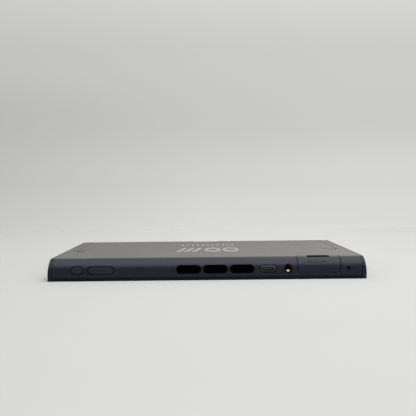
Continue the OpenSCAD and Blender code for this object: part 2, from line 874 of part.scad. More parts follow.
// ---------- card door and reader ----------

// Curved door that follows the rounded back edge, with its knuckle at the sill.
module card_door() {
    color([0.18, 0.19, 0.23]) difference() {
        translate([door_x, 0, 0]) intersection() {
            union() {
                along_x(-door_w, door_w) difference() {
                    intersection() {
                        profile(0);
                        translate([-hd, door_pin_z]) square([edge_r - door_gap, body_t]);
                    }
                    profile(door_t);
                }
                translate([-door_w / 2, door_pin_y, door_pin_z]) rotate([0, 90, 0])
                    cylinder(r = door_knuckle_r, h = door_w);
            }
            along_y(-hd - 1, -flat_y) door_face();
        }
        translate([door_x - door_w, door_pin_y, door_pin_z]) rotate([0, 90, 0])
            cylinder(r = door_pin_r + 0.01, h = 2 * door_w);
        translate([door_x, 0, 0]) finger_notch();
    }
}

module card_door_pin() {
    l = door_w + 2 * door_pin_over;
    color([0.72, 0.73, 0.75]) translate([door_x - l / 2, door_pin_y, door_pin_z])
        rotate([0, 90, 0]) cylinder(r = door_pin_r, h = l);
}

// Metal cage and base of the game card reader.
module card_reader() {
    z0 = board_top;
    z_mouth = z0 + reader_lift + reader_wall;
    mouth_w = card_w + 2 * reader_play;
    mouth_h = card_t + reader_play;
    color([0.66, 0.67, 0.7]) translate([door_x, 0, 0]) difference() {
        block([-reader_w / 2, reader_y0, z0], [reader_w / 2, reader_y0 + reader_l, z0 + reader_h]);
        block([-mouth_w / 2, reader_y0 - 1, z_mouth],
            [mouth_w / 2, reader_y0 + reader_l - 1, z_mouth + mouth_h]);
        for (s = [-1, 1]) translate([s * mouth_w / 4, reader_y0 + reader_l * 0.45, z0 + reader_h - 1])
            linear_extrude(2) round_rect(reader_window_w, reader_window_l, 1);
    }
}

// Gold springs at the back of the card reader.
module card_contacts() {
    y0 = reader_y0 + reader_l - 1.5 - spring_l;
    z0 = board_top + reader_lift + reader_wall;
    color([0.83, 0.66, 0.25]) for (i = [0:spring_count - 1])
        translate([door_x + (i - (spring_count - 1) / 2) * spring_pitch, y0, z0])
            block([-spring_w / 2, 0, 0], [spring_w / 2, spring_l, spring_t]);
}

// ---------- keys ----------

// Cap of a key: a pill that follows the port side's surface.
module key_cap(l, y1) {
    intersection() {
        along_x(-l, l) profile(0);
        translate([0, 0, port_z]) along_y(-hd - 1, y1) pill(l, key_h);
    }
}

module power_key() {
    flange_y = -hd + wall + 0.4;
    color([0.19, 0.2, 0.24]) translate([power_x, 0, 0]) {
        key_cap(power_l, flange_y + flange_t);
        translate([0, 0, port_z]) along_y(flange_y, flange_y + flange_t)
            pill(power_l + 2 * flange_over, key_h + 2 * flange_over);
        translate([0, flange_y, port_z]) rotate([-90, 0, 0])
            cylinder(r = nub_r, h = plunger_y - key_travel - 0.05 - flange_y);
    }
}

module volume_rocker() {
    flange_y = -hd + wall + 0.7;
    nub_end = plunger_y - 0.25;
    color([0.19, 0.2, 0.24]) difference() {
        union() {
            translate([rocker_x, 0, 0]) key_cap(rocker_l, flange_y + flange_t);
            translate([rocker_x, 0, port_z]) {
                along_y(flange_y, flange_y + flange_t)
                    pill(rocker_l + 2 * flange_over, key_h + 2 * flange_over);
                for (s = [-1, 1]) translate([s * rocker_reach, flange_y, 0]) rotate([-90, 0, 0])
                    cylinder(r = nub_r, h = nub_end - flange_y);
                block([-rocker_lug_r, flange_y, -key_h / 2], [rocker_lug_r, rocker_pin_y, key_h / 2]);
                translate([0, rocker_pin_y, -key_h / 2]) cylinder(r = rocker_lug_r, h = key_h);
            }
        }
        translate([rocker_x, rocker_pin_y, 0]) cylinder(r = rocker_pin_r + run_gap, h = body_t);
    }
}

module rocker_pin() {
    reach = key_h / 2 + 0.2 + bracket_arm_t;
    color([0.72, 0.73, 0.75]) translate([rocker_x, rocker_pin_y, port_z - reach])
        cylinder(r = rocker_pin_r, h = 2 * reach);
}

// Clip on the key board that carries the rocker's pin.
module rocker_bracket() {
    z_in = key_h / 2 + 0.2;
    z_out = z_in + bracket_arm_t;
    y1 = key_board_y;
    color([0.6, 0.61, 0.64]) difference() {
        translate([rocker_x, 0, port_z]) {
            block([-1.6, y1 - 0.3, -z_out], [1.6, y1, z_out]);
            for (s = [-1, 1])
                block([-1.6, rocker_pin_y - 0.65, s < 0 ? -z_out : z_in], [1.6, y1, s < 0 ? -z_in : z_out]);
        }
        translate([rocker_x, rocker_pin_y, 0]) cylinder(r = rocker_pin_r + 0.01, h = body_t);
    }
}

module key_board() {
    color([0.08, 0.25, 0.16]) block([power_x - 5, key_board_y, deck_z],
        [key_board_x1, key_board_y + key_board_t, deck_z + key_board_h + 0.6]);
}

module key_switches() {
    color([0.75, 0.76, 0.78]) for (x = [power_x, rocker_x - rocker_reach, rocker_x + rocker_reach])
        translate([x, 0, port_z]) {
            block([-switch_w / 2, key_board_y - switch_l, -switch_h / 2], [switch_w / 2, key_board_y, switch_h / 2]);
            translate([0, plunger_y, 0]) rotate([-90, 0, 0]) cylinder(r = plunger_r, h = plunger_l + eps);
        }
}

// ---------- sockets and sensors ----------

// Drawn metal shell of a USB-C socket at the port side; s = 1 turns it to the far side.
module usb_shell(x, s) {
    color([0.68, 0.69, 0.72]) translate([x, 0, port_z]) rotate(s > 0 ? 180 : 0)
        along_y(-hd + usb_back, -hd + usb_back + usb_l) difference() {
            pill(usb_w, usb_h);
            pill(usb_w - 2 * usb_sheet, usb_h - 2 * usb_sheet);
        }
}

// Plastic back and tongue inside a USB-C socket.
module usb_tongue(x, s) {
    y1 = -hd + usb_back + usb_l;
    color([0.06, 0.06, 0.07]) translate([x, 0, port_z]) rotate(s > 0 ? 180 : 0) {
        along_y(y1 - 2, y1) pill(usb_w - 2 * usb_sheet, usb_h - 2 * usb_sheet);
        along_y(y1 - 2 - tongue_l, y1 - 2 + eps) square([tongue_w, tongue_t], center = true);
    }
}

module upper_usb_shell() {
    usb_shell(usb_x, -1);
}

module upper_usb_tongue() {
    usb_tongue(usb_x, -1);
}

module lower_usb_shell() {
    usb_shell(0, 1);
}

module lower_usb_tongue() {
    usb_tongue(0, 1);
}

// Small board under the lower USB-C socket.
module port_board() {
    color([0.08, 0.25, 0.16]) block([-port_board_w / 2, hd - port_board_d, board_z],
        [port_board_w / 2, hd - wall - 0.3, board_top]);
}

module audio_jack() {
    y0 = -hd + jack_face;
    y_body = -hd + wall + 0.3;
    color([0.05, 0.05, 0.06]) difference() {
        translate([jack_x, 0, port_z]) {
            translate([0, y0, 0]) rotate([-90, 0, 0]) cylinder(r = jack_hole_r - seat_gap, h = y_body - y0 + 1);
            block([-jack_body_w / 2, y_body, -jack_body_h / 2], [jack_body_w / 2, y0 + jack_l + 1, jack_body_h / 2]);
        }
        translate([jack_x, y0 - 1, port_z]) rotate([-90, 0, 0]) cylinder(r = jack_bore_r, h = jack_l + 1);
        translate([jack_x, y0 + jack_ring_inset, port_z]) rotate([-90, 0, 0])
            cylinder(r = jack_bore_r + ring_t, h = jack_ring_l);
    }
}

// Gold sleeve contact that the headphone socket is moulded round, just behind its mouth.
module jack_contact_ring() {
    color([0.83, 0.66, 0.25]) translate([jack_x, -hd + jack_face + jack_ring_inset, port_z])
        rotate([-90, 0, 0]) difference() {
            cylinder(r = jack_bore_r + ring_t, h = jack_ring_l);
            translate([0, 0, -1]) cylinder(r = jack_bore_r, h = jack_ring_l + 2);
        }
}

module light_sensor() {
    color([0.35, 0.37, 0.36]) translate([sensor_x, -hd + 0.3, port_z]) rotate([-90, 0, 0]) {
        cylinder(r = sensor_r - seat_gap, h = wall);
        translate([0, 0, wall - 0.2]) cylinder(r = sensor_r + 0.7, h = 1);
    }
}

module microphone() {
    color([0.6, 0.61, 0.63]) translate([mic_x, 0, port_z])
        block([-1.75, -hd + wall + 0.1, -1.9], [1.75, -hd + wall + 1.2, 1.9]);
}

// ---------- cooling ----------

// Collar between the vents and the fins.
module vent_duct() {
    w = stack_w + 3;
    color([0.04, 0.04, 0.045]) translate([vent_x, 0, 0]) difference() {
        along_x(-w / 2, w / 2) intersection() {
            profile(wall + seat_gap);
            translate([-hd, fin_z0]) square([wall + duct_t, fin_h]);
        }
        for (i = [0:vent_count - 1]) translate([(i - (vent_count - 1) / 2) * vent_pitch, 0, port_z])
            along_y(-hd, -hd + wall + duct_t + 1) pill(vent_w - 0.4, vent_h - 0.4);
    }
}

module fin_stack() {
    pitch = (stack_w - fin_t) / (fin_count - 1);
    z1 = fin_z0 + fin_h;
    color([0.1, 0.1, 0.1]) translate([vent_x, 0, 0]) {
        block([-stack_w / 2, fin_y0, fin_z0], [stack_w / 2, fin_y0 + fin_l, fin_z0 + fin_plate_t]);
        block([-stack_w / 2, fin_y0, z1 - fin_plate_t], [stack_w / 2, fin_y0 + fin_l, z1]);
        for (i = [0:fin_count - 1])
            block([-stack_w / 2 + i * pitch, fin_y0, fin_z0 + fin_plate_t - eps],
                [-stack_w / 2 + i * pitch + fin_t, fin_y0 + fin_l, z1 - fin_plate_t + eps]);
    }
}

// Corner region that starts w to the outer side of the pipe's centre line, with its bend.
module pipe_side(w, over) {
    y_fin = fin_y0 + fin_l / 2;
    cx = chip_x + pipe_bend_r;
    cy = y_fin + pipe_bend_r;
    x1 = vent_x + stack_w / 2 + over;
    y1 = chip_y + spreader_w / 2 + over;
    translate([chip_x - w, cy]) square([x1 - chip_x + w, y1 - cy]);
    translate([cx, y_fin - w]) square([x1 - cx, y1 - y_fin + w]);
    translate([cx, cy]) circle(pipe_bend_r + w);
}

// Flat heat pipe from the processor to the top of the fins, with one quarter bend.
module heat_pipe() {
    color([0.75, 0.47, 0.3]) along_z(pipe_z, pipe_z + pipe_t) difference() {
        pipe_side(pipe_w / 2, 0);
        pipe_side(-pipe_w / 2, 1);
    }
}

module heat_spreader() {
    color([0.75, 0.47, 0.3]) block([chip_x - spreader_w / 2, chip_y - spreader_w / 2, board_top + chip_t],
        [chip_x + spreader_w / 2, chip_y + spreader_w / 2, pipe_z]);
}

// Outline of the blower's air path: a round chamber that opens into a straight outlet.
module fan_path() {
    translate([fan_x, fan_y]) circle(fan_case_w / 2 - fan_wall);
    translate([fan_x - fan_case_w / 2 + fan_wall, fan_case_y0 - 1])
        square([fan_case_w - 2 * fan_wall, fan_case_w / 2 + 1]);
}

module fan_outline() {
    translate([fan_x, fan_y]) circle(fan_case_w / 2);
    translate([fan_x - fan_case_w / 2, fan_case_y0]) square([fan_case_w, fan_case_w / 2]);
}

module fan_housing() {
    color([0.1, 0.1, 0.11]) {
        along_z(deck_z, deck_z + fan_base_t) fan_outline();
        along_z(deck_z + fan_base_t - eps, deck_z + fan_case_h) difference() {
            fan_outline();
            fan_path();
        }
    }
}

module fan_cover() {
    color([0.55, 0.56, 0.58]) along_z(deck_z + fan_case_h, deck_z + fan_case_h + fan_cover_t) difference() {
        fan_outline();
        translate([fan_x, fan_y]) circle(fan_inlet_r);
    }
}

// One curved blade from the hub to the rim: a thin strip between two swept edges.
function blade_edge(side) = [
    for (i = [0:6]) let (
        u = side > 0 ? i / 6 : 1 - i / 6,
        r = hub_r - 0.2 + u * (fan_r - hub_r),
        a = blade_sweep * u * u + side * 90 / PI * blade_t / r
    ) [r * cos(a), r * sin(a)]
];

module fan_rotor() {
    z1 = rotor_z0 + rotor_h;
    color([0.12, 0.12, 0.13]) translate([fan_x, fan_y, 0]) {
        difference() {
            union() {
                along_z(rotor_z0, z1) circle(hub_r);
                for (i = [0:blade_count - 1]) rotate(i * 360 / blade_count)
                    along_z(rotor_z0 + 0.2, z1 - 0.2) polygon(concat(blade_edge(1), blade_edge(-1)));
                along_z(rotor_z0, rotor_z0 + 0.5) difference() {
                    circle(fan_r);
                    circle(fan_r - 1.2);
                }
            }
            along_z(rotor_z0 - 1, z1 - 0.7) circle(hub_r - hub_wall);
            along_z(rotor_z0, z1 - 0.3) circle(shaft_r + 0.01);
        }
    }
}

module fan_shaft() {
    color([0.75, 0.76, 0.78]) translate([fan_x, fan_y, 0])
        along_z(deck_z + fan_base_t + 0.2, rotor_z0 + rotor_h - 0.3) circle(shaft_r);
}

module fan_bearing() {
    color([0.8, 0.62, 0.3]) translate([fan_x, fan_y, 0])
        along_z(deck_z + fan_base_t, rotor_z0 + rotor_h - 1) difference() {
            circle(bearing_r);
            circle(shaft_r + run_gap);
        }
}

module fan_stator() {
    poles = 6;
    color([0.7, 0.42, 0.2]) translate([fan_x, fan_y, 0])
        along_z(deck_z + fan_base_t, rotor_z0 + rotor_h - 1.1) difference() {
            union() {
                circle(bearing_r + 0.8);
                for (i = [0:poles - 1]) rotate(i * 360 / poles) translate([bearing_r, -0.9]) square([2.6, 1.8]);
                difference() {
                    circle(stator_r);
                    circle(stator_r - 0.8);
                    for (i = [0:poles - 1]) rotate((i + 0.5) * 360 / poles) square([2 * stator_r, 1]);
                }
            }
            circle(bearing_r + 0.01);
        }
}

// ---------- boards, battery, speakers ----------

module main_board() {
    color([0.08, 0.25, 0.16]) difference() {
        block([board_x0, board_y0, board_z], [board_x1, board_y1, board_top]);
        block([board_notch_x0, -hd, 0], [board_notch_x1, board_notch_y, body_t]);
        block([jack_x - jack_body_w / 2 - part_gap, -hd, 0],
            [jack_x + jack_body_w / 2 + part_gap, -hd + jack_face + jack_l + 1.2, body_t]);
    }
}

module processor() {
    color([0.2, 0.2, 0.22]) block([chip_x - chip_w / 2, chip_y - chip_w / 2, board_top],
        [chip_x + chip_w / 2, chip_y + chip_w / 2, board_top + chip_t]);
}

module memory_chips() {
    color([0.05, 0.05, 0.06]) {
        for (s = [-1, 1]) translate([chip_x + s * 5.6, chip_y - 17, board_top]) block([-4.6, -5, 0], [4.6, 5, 0.9]);
        translate([usb_x + 1, board_y1 - 9.9, board_top]) block([-5, -4, 0], [5, 4, 0.9]);
        translate([board_x0 + 6, board_y1 - 3.9, board_top]) block([-3, -3, 0], [3, 3, 0.9]);
    }
}

// Drawn metal can over the power circuits.
module board_shield() {
    x0 = board_notch_x1 + 1;
    x1 = door_x - reader_w / 2 - 1;
    y0 = -hd + jack_face + jack_l + 2;
    y1 = board_y1 - 15.9;
    h = 2;
    color([0.66, 0.67, 0.7]) difference() {
        block([x0, y0, board_top], [x1, y1, board_top + h]);
        block([x0 + 0.3, y0 + 0.3, board_top - 1], [x1 - 0.3, y1 - 0.3, board_top + h - 0.3]);
    }
}

module battery() {
    color([0.16, 0.17, 0.19]) translate([0, (battery_y0 + battery_y1) / 2, 0])
        along_z(deck_z, deck_z + battery_t) round_rect(battery_w, battery_d, 1.5);
}

module speaker(sx) {
    x = sx * (hw - speaker_inset);
    y0 = speaker_y1 - speaker_d;
    color([0.07, 0.07, 0.08]) difference() {
        block([x - speaker_w / 2, y0, deck_z], [x + speaker_w / 2, speaker_y1, deck_z + speaker_h]);
        block([x - speaker_w / 2 + 1.5, speaker_y1 - 2, deck_z + 1], [x + speaker_w / 2 - 1.5, hd, deck_z + speaker_h - 1]);
    }
}

module left_speaker() {
    speaker(-1);
}

module right_speaker() {
    speaker(1);
}

// Fine mesh strips behind the speaker slots.
module speaker_mesh() {
    w = speaker_slots * speaker_pitch;
    color([0.1, 0.1, 0.11]) for (sx = [-1, 1]) translate([sx * (hw - speaker_inset), 0, port_z])
        block([-w / 2, hd - wall - seat_gap - mesh_t, -1.05], [w / 2, hd - wall - seat_gap, 1.05]);
}

// Reader for the removable memory card, held under the kickstand's recess.
module memory_card_slot() {
    y1 = memory_y - 0.8;
    z1 = backing_z;
    color([0.66, 0.67, 0.7]) difference() {
        block([memory_x - memory_w / 2, y1 - memory_l, z1 - memory_t], [memory_x + memory_w / 2, y1, z1]);
        block([memory_x - memory_mouth_w / 2, y1 - memory_l + 1, z1 - memory_t / 2 - memory_mouth_h / 2],
            [memory_x + memory_mouth_w / 2, y1 + 1, z1 - memory_t / 2 + memory_mouth_h / 2]);
    }
}

module antennas() {
    color([0.75, 0.62, 0.35]) for (sx = [-1, 1])
        translate([sx * (battery_w / 2 + 10), antenna_y, deck_z])
            block([-antenna_w / 2, -antenna_l / 2, 0], [antenna_w / 2, antenna_l / 2, antenna_t]);
}

// ---------- assembly ----------

front_glass();
touch_layer();
lcd_panel();
backlight();
front_frame();
mid_frame();
rear_cover();
left_rail();
right_rail();
left_socket();
right_socket();
socket_contacts();
latch_plates();
rail_screws();
cover_screws();
kickstand();
kickstand_pads();
hinge_pins();
left_hinge_bracket();
right_hinge_bracket();
card_door();
card_door_pin();
card_reader();
card_contacts();
power_key();
volume_rocker();
rocker_pin();
rocker_bracket();
key_board();
key_switches();
upper_usb_shell();
upper_usb_tongue();
lower_usb_shell();
lower_usb_tongue();
port_board();
audio_jack();
jack_contact_ring();
light_sensor();
microphone();
vent_duct();
fin_stack();
heat_pipe();
heat_spreader();
fan_housing();
fan_cover();
fan_rotor();
fan_shaft();
fan_bearing();
fan_stator();
main_board();
processor();
memory_chips();
board_shield();
battery();
left_speaker();
right_speaker();
speaker_mesh();
memory_card_slot();
antennas();
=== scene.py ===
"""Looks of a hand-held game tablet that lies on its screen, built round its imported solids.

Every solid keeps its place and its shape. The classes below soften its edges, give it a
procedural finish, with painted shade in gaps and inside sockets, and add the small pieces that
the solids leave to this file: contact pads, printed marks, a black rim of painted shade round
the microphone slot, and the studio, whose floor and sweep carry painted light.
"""

import logging
import math
from collections.abc import Callable, Iterable, Sequence
from dataclasses import dataclass, field
from enum import Enum
from typing import ClassVar

import bmesh
import bpy
from mathutils import Matrix, Vector


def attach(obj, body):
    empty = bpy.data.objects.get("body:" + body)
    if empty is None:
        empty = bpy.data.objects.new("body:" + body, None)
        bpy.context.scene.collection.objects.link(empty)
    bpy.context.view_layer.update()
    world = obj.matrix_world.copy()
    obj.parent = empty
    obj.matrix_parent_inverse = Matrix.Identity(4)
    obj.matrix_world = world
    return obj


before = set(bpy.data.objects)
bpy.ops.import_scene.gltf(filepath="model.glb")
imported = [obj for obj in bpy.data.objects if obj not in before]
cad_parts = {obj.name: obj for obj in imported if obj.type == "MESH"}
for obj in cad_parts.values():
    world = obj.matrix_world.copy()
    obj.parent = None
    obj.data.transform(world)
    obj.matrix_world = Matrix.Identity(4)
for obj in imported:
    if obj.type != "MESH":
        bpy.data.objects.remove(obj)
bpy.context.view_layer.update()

MM = 0.001
LOG = logging.getLogger("tablet")

Colour = tuple[float, float, float]
Point = tuple[float, float, float]
Pair = tuple[float, float]
Outline = list[Pair]
Place = Callable[[float, float, float], Vector]
Node, NodeSocket, NodeTree = bpy.types.Node, bpy.types.NodeSocket, bpy.types.NodeTree
Material, Mesh, SocketRow = bpy.types.Material, bpy.types.Mesh, bpy.types.bpy_prop_collection

# softened edges: metres, and the least angles between faces that are rounded or split
WELD_REACH = 0.000002
ROUND_FROM, SPLIT_FROM = math.radians(34), math.radians(36)
ROUND_STEPS = 2

# lower and upper face of printed marks and of the painted-shade rim round the microphone slot, in
# millimetres from the skin
MARK_DEPTH: Pair = (-0.02, 0.012)

# the parts of a noise's values that are spread over 0 to 1
NOISE_RANGE: Pair = (0.35, 0.65)
CLOUD_RANGE: Pair = (0.3, 0.7)

# near-black colour of the painted shade in gaps and along gap edges
PAINTED_SHADE_COLOUR: Colour = (0.0015, 0.0015, 0.002)
LINT: Colour = (0.45, 0.44, 0.42)
WHITE: Colour = (1.0, 1.0, 1.0)


class Body(Enum):
    """Rigid bodies that the new pieces ride on."""

    HOUSING = "housing"
    DOOR = "door"


class Effect(Enum):
    """Surface effects that several finishes share."""

    GRAIN = "moulded_grain"
    WEAR = "edge_wear"
    DRIFT = "colour_drift"
    HANDLING = "handling_marks"
    BRUSHING = "brushed_lines"
    DUST = "settled_dust"
    CREVICE = "crevice_shade"
    SEAM = "seam_dirt"


# ---------------------------------------------------------------- shader bench


class Bench:
    """Adds and joins nodes in one shader tree."""

    def __init__(self, tree: NodeTree) -> None:
        """Keeps the tree and empties it.

        Args:
            tree: The tree to build in.
        """
        self.tree = tree
        tree.nodes.clear()

    def add(self, kind: str, **settings: object) -> Node:
        """Adds one node.

        Args:
            kind: Blender's name of the node type.
            **settings: Properties to set on it.

        Returns:
            The new node.
        """
        node = self.tree.nodes.new(kind)
        for name, value in settings.items():
            setattr(node, name, value)
        return node

    def join(self, source: NodeSocket, target: NodeSocket) -> None:
        """Links an output to an input."""
        self.tree.links.new(source, target)

    def feed(self, target: NodeSocket, value: object) -> None:
        """Links a socket, or sets a plain value.

        Args:
            target: The input to feed.
            value: An output socket, a number or a colour.
        """
        if isinstance(value, NodeSocket):
            self.join(value, target)
        else:
            target.default_value = value

    def maths(self, operation: str, a: object, b: object = 0.0, clamp: bool = False) -> NodeSocket:
        """Adds a Math node.

        Args:
            operation: Its operation.
            a: First value or socket.
            b: Second value or socket.
            clamp: Whether the result stays from 0 to 1.

        Returns:
            Its output.
        """
        node = self.add("ShaderNodeMath", operation=operation, use_clamp=clamp)
        self.feed(node.inputs[0], a)
        self.feed(node.inputs[1], b)
        return node.outputs[0]

    def times(self, a: object, b: object, clamp: bool = False) -> NodeSocket:
        """Multiplies two numbers or sockets."""
        return self.maths("MULTIPLY", a, b, clamp)

    def mix(self, factor: object, a: object, b: object) -> NodeSocket:
        """Mixes two colours.

        Args:
            factor: Share of the second colour.
            a: First colour or socket.
            b: Second colour or socket.

        Returns:
            The mixed colour.
        """
        node = self.add("ShaderNodeMix", data_type="RGBA")
        self.feed(node.inputs[0], factor)
        self.feed(node.inputs[6], rgba(a))
        self.feed(node.inputs[7], rgba(b))
        return node.outputs[2]

    def spread(
        self, source: object, low: float, high: float, to_low: object = 0.0, to_high: object = 1.0
    ) -> NodeSocket:
        """Maps a range to another and clamps it.

        Args:
            source: Value to map.
            low: Lower end of its range.
            high: Upper end of its range.
            to_low: Result at the lower end.
            to_high: Result at the upper end.

        Returns:
            The mapped value.
        """
        node = self.add("ShaderNodeMapRange", clamp=True)
        for target, value in zip(node.inputs, (source, low, high, to_low, to_high)):
            self.feed(target, value)
        return node.outputs[0]

    def noise(
        self, where: NodeSocket, scale: object, detail: float = 3.0, rough: float = 0.55
    ) -> NodeSocket:
        """Adds a noise texture.

        Args:
            where: Coordinates.
            scale: Repeats per metre.
            detail: Octaves.
            rough: How much the fine octaves count.

        Returns:
            Its value.
        """
        node = self.add("ShaderNodeTexNoise")
        self.join(where, node.inputs["Vector"])
        self.feed(node.inputs["Scale"], scale)
        node.inputs["Detail"].default_value = detail
        node.inputs["Roughness"].default_value = rough
        return node.outputs[0]

    def stretch(self, where: NodeSocket, factors: object) -> NodeSocket:
        """Scales coordinates along each axis.

        Args:
            where: Coordinates.
            factors: Three factors, or a socket.

        Returns:
            The scaled coordinates.
        """
        node = self.add("ShaderNodeVectorMath", operation="MULTIPLY")
        self.join(where, node.inputs[0])
        self.feed(node.inputs[1], factors)
        return node.outputs[0]

    def cells(self, where: NodeSocket, scale: object, **settings: object) -> NodeSocket:
        """Adds a cell texture.

        Args:
            where: Coordinates.
            scale: Cells per metre.
            **settings: Properties to set on its node.

        Returns:
            Distance to the middle of the nearest cell.
        """
        node = self.add("ShaderNodeTexVoronoi", **settings)
        self.join(where, node.inputs["Vector"])
        self.feed(node.inputs["Scale"], scale)
        return node.outputs["Distance"]

    def axes(self, where: NodeSocket) -> SocketRow:
        """Splits coordinates.

        Args:
            where: Coordinates or a direction.

        Returns:
            Its X, Y and Z.
        """
        node = self.add("ShaderNodeSeparateXYZ")
        self.join(where, node.inputs[0])
        return node.outputs

    def turn(self, radius: NodeSocket, samples: int) -> NodeSocket:
        """Compares the normal of rounded edges with the true one.

        Args:
            radius: Radius of the rounding in metres.
            samples: Rays for each point.

        Returns:
            1 on a plain face, and less beside an edge.
        """
        rounded = self.add("ShaderNodeBevel", samples=samples)
        self.join(radius, rounded.inputs["Radius"])
        both = self.add("ShaderNodeVectorMath", operation="DOT_PRODUCT")
        self.join(rounded.outputs["Normal"], both.inputs[0])
        self.join(self.facing(), both.inputs[1])
        return both.outputs["Value"]

    def place(self) -> NodeSocket:
        """Coordinates of the surface in the object's own frame, in metres."""
        return self.add("ShaderNodeTexCoord").outputs["Object"]

    def facing(self) -> NodeSocket:
        """Direction that the surface faces, without relief."""
        return self.add("ShaderNodeNewGeometry").outputs["True Normal"]


def rgba(colour: object) -> object:
    """Gives a colour its fourth number.

    Args:
        colour: Three or four numbers, or a socket.

    Returns:
        Four numbers, or the socket as it is.
    """
    if isinstance(colour, NodeSocket) or len(colour) == 4:
        return colour
    return (*colour, 1.0)


def start_material(name: str) -> tuple[Material, Bench]:
    """Makes a material with an empty node tree.

    Args:
        name: Its name.

    Returns:
        The material and the bench for its nodes.
    """
    material = bpy.data.materials.new(name)
    material.use_nodes = True
    return material, Bench(material.node_tree)


# ---------------------------------------------------------------- shared effects


class EffectLibrary:
    """Node groups of the shared effects, each built once."""

    def __init__(self) -> None:
        """Builds every group."""
        self.groups: dict[Effect, NodeTree] = {
            Effect.GRAIN: self._grain(),
            Effect.WEAR: self._wear(),
            Effect.DRIFT: self._drift(),
            Effect.HANDLING: self._handling(),
            Effect.BRUSHING: self._brushing(),
            Effect.DUST: self._dust(),
            Effect.CREVICE: self._crevice(),
            Effect.SEAM: self._seam(),
        }

    @staticmethod
    def _open(
        effect: Effect, inputs: dict[str, object], *outputs: str
    ) -> tuple[Bench, SocketRow, SocketRow]:
        """Starts a group.

        Args:
            effect: Which effect it is.
            inputs: Name to default value: a number, three for a direction or four for a colour.
            *outputs: Names; Colour is a colour, and the others are numbers.

        Returns:
            The bench, the sockets that the group is given and the ones that it puts out.
        """
        kinds = {1: "NodeSocketFloat", 3: "NodeSocketVector", 4: "NodeSocketColor"}
        tree = bpy.data.node_groups.new(effect.value, "ShaderNodeTree")
        for name, value in inputs.items():
            kind = kinds[len(value) if isinstance(value, tuple) else 1]
            tree.interface.new_socket(name, in_out="INPUT", socket_type=kind).default_value = value
        for name in outputs:
            kind = kinds[4 if name == "Colour" else 1]
            tree.interface.new_socket(name, in_out="OUTPUT", socket_type=kind)
        bench = Bench(tree)
        return bench, bench.add("NodeGroupInput").outputs, bench.add("NodeGroupOutput").inputs

    def _grain(self) -> NodeTree:
        """Fine moulded texture: shallow cells with a softer roll under them.

        Returns:
            The group.
        """
        bench, given, out = self._open(Effect.GRAIN, {"Scale": 2600.0}, "Height", "Mask")
        where = bench.place()
        cells = bench.cells(where, given["Scale"], feature="SMOOTH_F1")
        roll = bench.noise(where, bench.times(given["Scale"], 0.35), detail=4.0, rough=0.6)
        bench.join(bench.maths("ADD", bench.times(cells, 0.7), bench.times(roll, 0.6)), out["Height"])
        bench.join(bench.spread(roll, *NOISE_RANGE), out["Mask"])
        return bench.tree

    def _wear(self) -> NodeTree:
        """Rubbed edges, broken up by noise.

        Returns:
            The group.
        """
        bench, given, out = self._open(
            Effect.WEAR, {"Radius": 0.0004, "Breakup": 900.0, "Amount": 0.4}, "Mask"
        )
        edge = bench.spread(bench.turn(given["Radius"], samples=4), 0.99, 0.8)
        breakup = bench.noise(bench.place(), given["Breakup"], detail=5.0, rough=0.65)
        worn = bench.times(edge, bench.spread(breakup, 0.42, 0.6))
        bench.join(bench.times(worn, given["Amount"], clamp=True), out["Mask"])
        return bench.tree

    def _drift(self) -> NodeTree:
        """Slow change between two close colours.

        Returns:
            The group.
        """
        grey, pale = (0.1, 0.1, 0.1, 1.0), (0.2, 0.2, 0.2, 1.0)
        bench, given, out = self._open(
            Effect.DRIFT, {"Colour A": grey, "Colour B": pale, "Scale": 18.0}, "Colour"
        )
        cloud = bench.noise(bench.place(), given["Scale"], detail=5.0, rough=0.6)
        share = bench.spread(cloud, *CLOUD_RANGE)
        bench.join(bench.mix(share, given["Colour A"], given["Colour B"]), out["Colour"])
        return bench.tree

    def _handling(self) -> NodeTree:
        """Faint wiping streaks and finger smudges, as a mask for roughness.

        Returns:
            The group.
        """
        bench, given, out = self._open(Effect.HANDLING, {"Scale": 30.0, "Amount": 0.5}, "Mask")
        where = bench.place()
        wiped = bench.stretch(where, (3.2, 0.35, 1.0))
        streaks = bench.noise(wiped, given["Scale"], detail=6.0, rough=0.62)
        smudges = bench.noise(where, bench.times(given["Scale"], 1.7), detail=3.0, rough=0.5)
        streaks = bench.spread(streaks, 0.35, 0.68, 0.0, 0.6)
        smudges = bench.spread(smudges, 0.5, 0.72, 0.0, 0.4)
        both = bench.maths("ADD", streaks, smudges)
        bench.join(bench.times(both, given["Amount"], clamp=True), out["Mask"])
        return bench.tree

    def _brushing(self) -> NodeTree:
        """Fine parallel lines left by rolling or brushing.

        Returns:
            The group.
        """
        bench, given, out = self._open(
            Effect.BRUSHING, {"Scale": 1500.0, "Direction": (0.03, 1.0, 1.0)}, "Height", "Mask"
        )
        along = bench.stretch(bench.place(), given["Direction"])
        lines = bench.noise(along, given["Scale"], detail=4.0, rough=0.7)
        bench.join(lines, out["Height"])
        bench.join(bench.spread(lines, *NOISE_RANGE), out["Mask"])
        return bench.tree

    def _dust(self) -> NodeTree:
        """Sparse specks that settle on faces that look up.

        Returns:
            The group.
        """
        bench, given, out = self._open(Effect.DUST, {"Scale": 700.0, "Amount": 0.2}, "Mask")
        where = bench.place()
        specks = bench.cells(where, given["Scale"], feature="F1")
        patches = bench.noise(where, bench.times(given["Scale"], 0.4), detail=2.0)
        dots = bench.times(bench.spread(specks, 0.22, 0.08), bench.maths("GREATER_THAN", patches, 0.6))
        lying = bench.spread(bench.axes(bench.facing())[2], 0.3, 0.9)
        bench.join(bench.times(bench.times(dots, lying), given["Amount"], clamp=True), out["Mask"])
        return bench.tree

    def _crevice(self) -> NodeTree:
        """Painted shade in gaps: darker where the surface sees little of the room.

        Returns:
            The group.
        """
        bench, given, out = self._open(Effect.CREVICE, {"Reach": 0.0006}, "Mask")
        open_share = bench.add("ShaderNodeAmbientOcclusion", samples=8)
        bench.join(given["Reach"], open_share.inputs["Distance"])
        bench.join(bench.spread(open_share.outputs["AO"], 0.9, 0.5), out["Mask"])
        return bench.tree

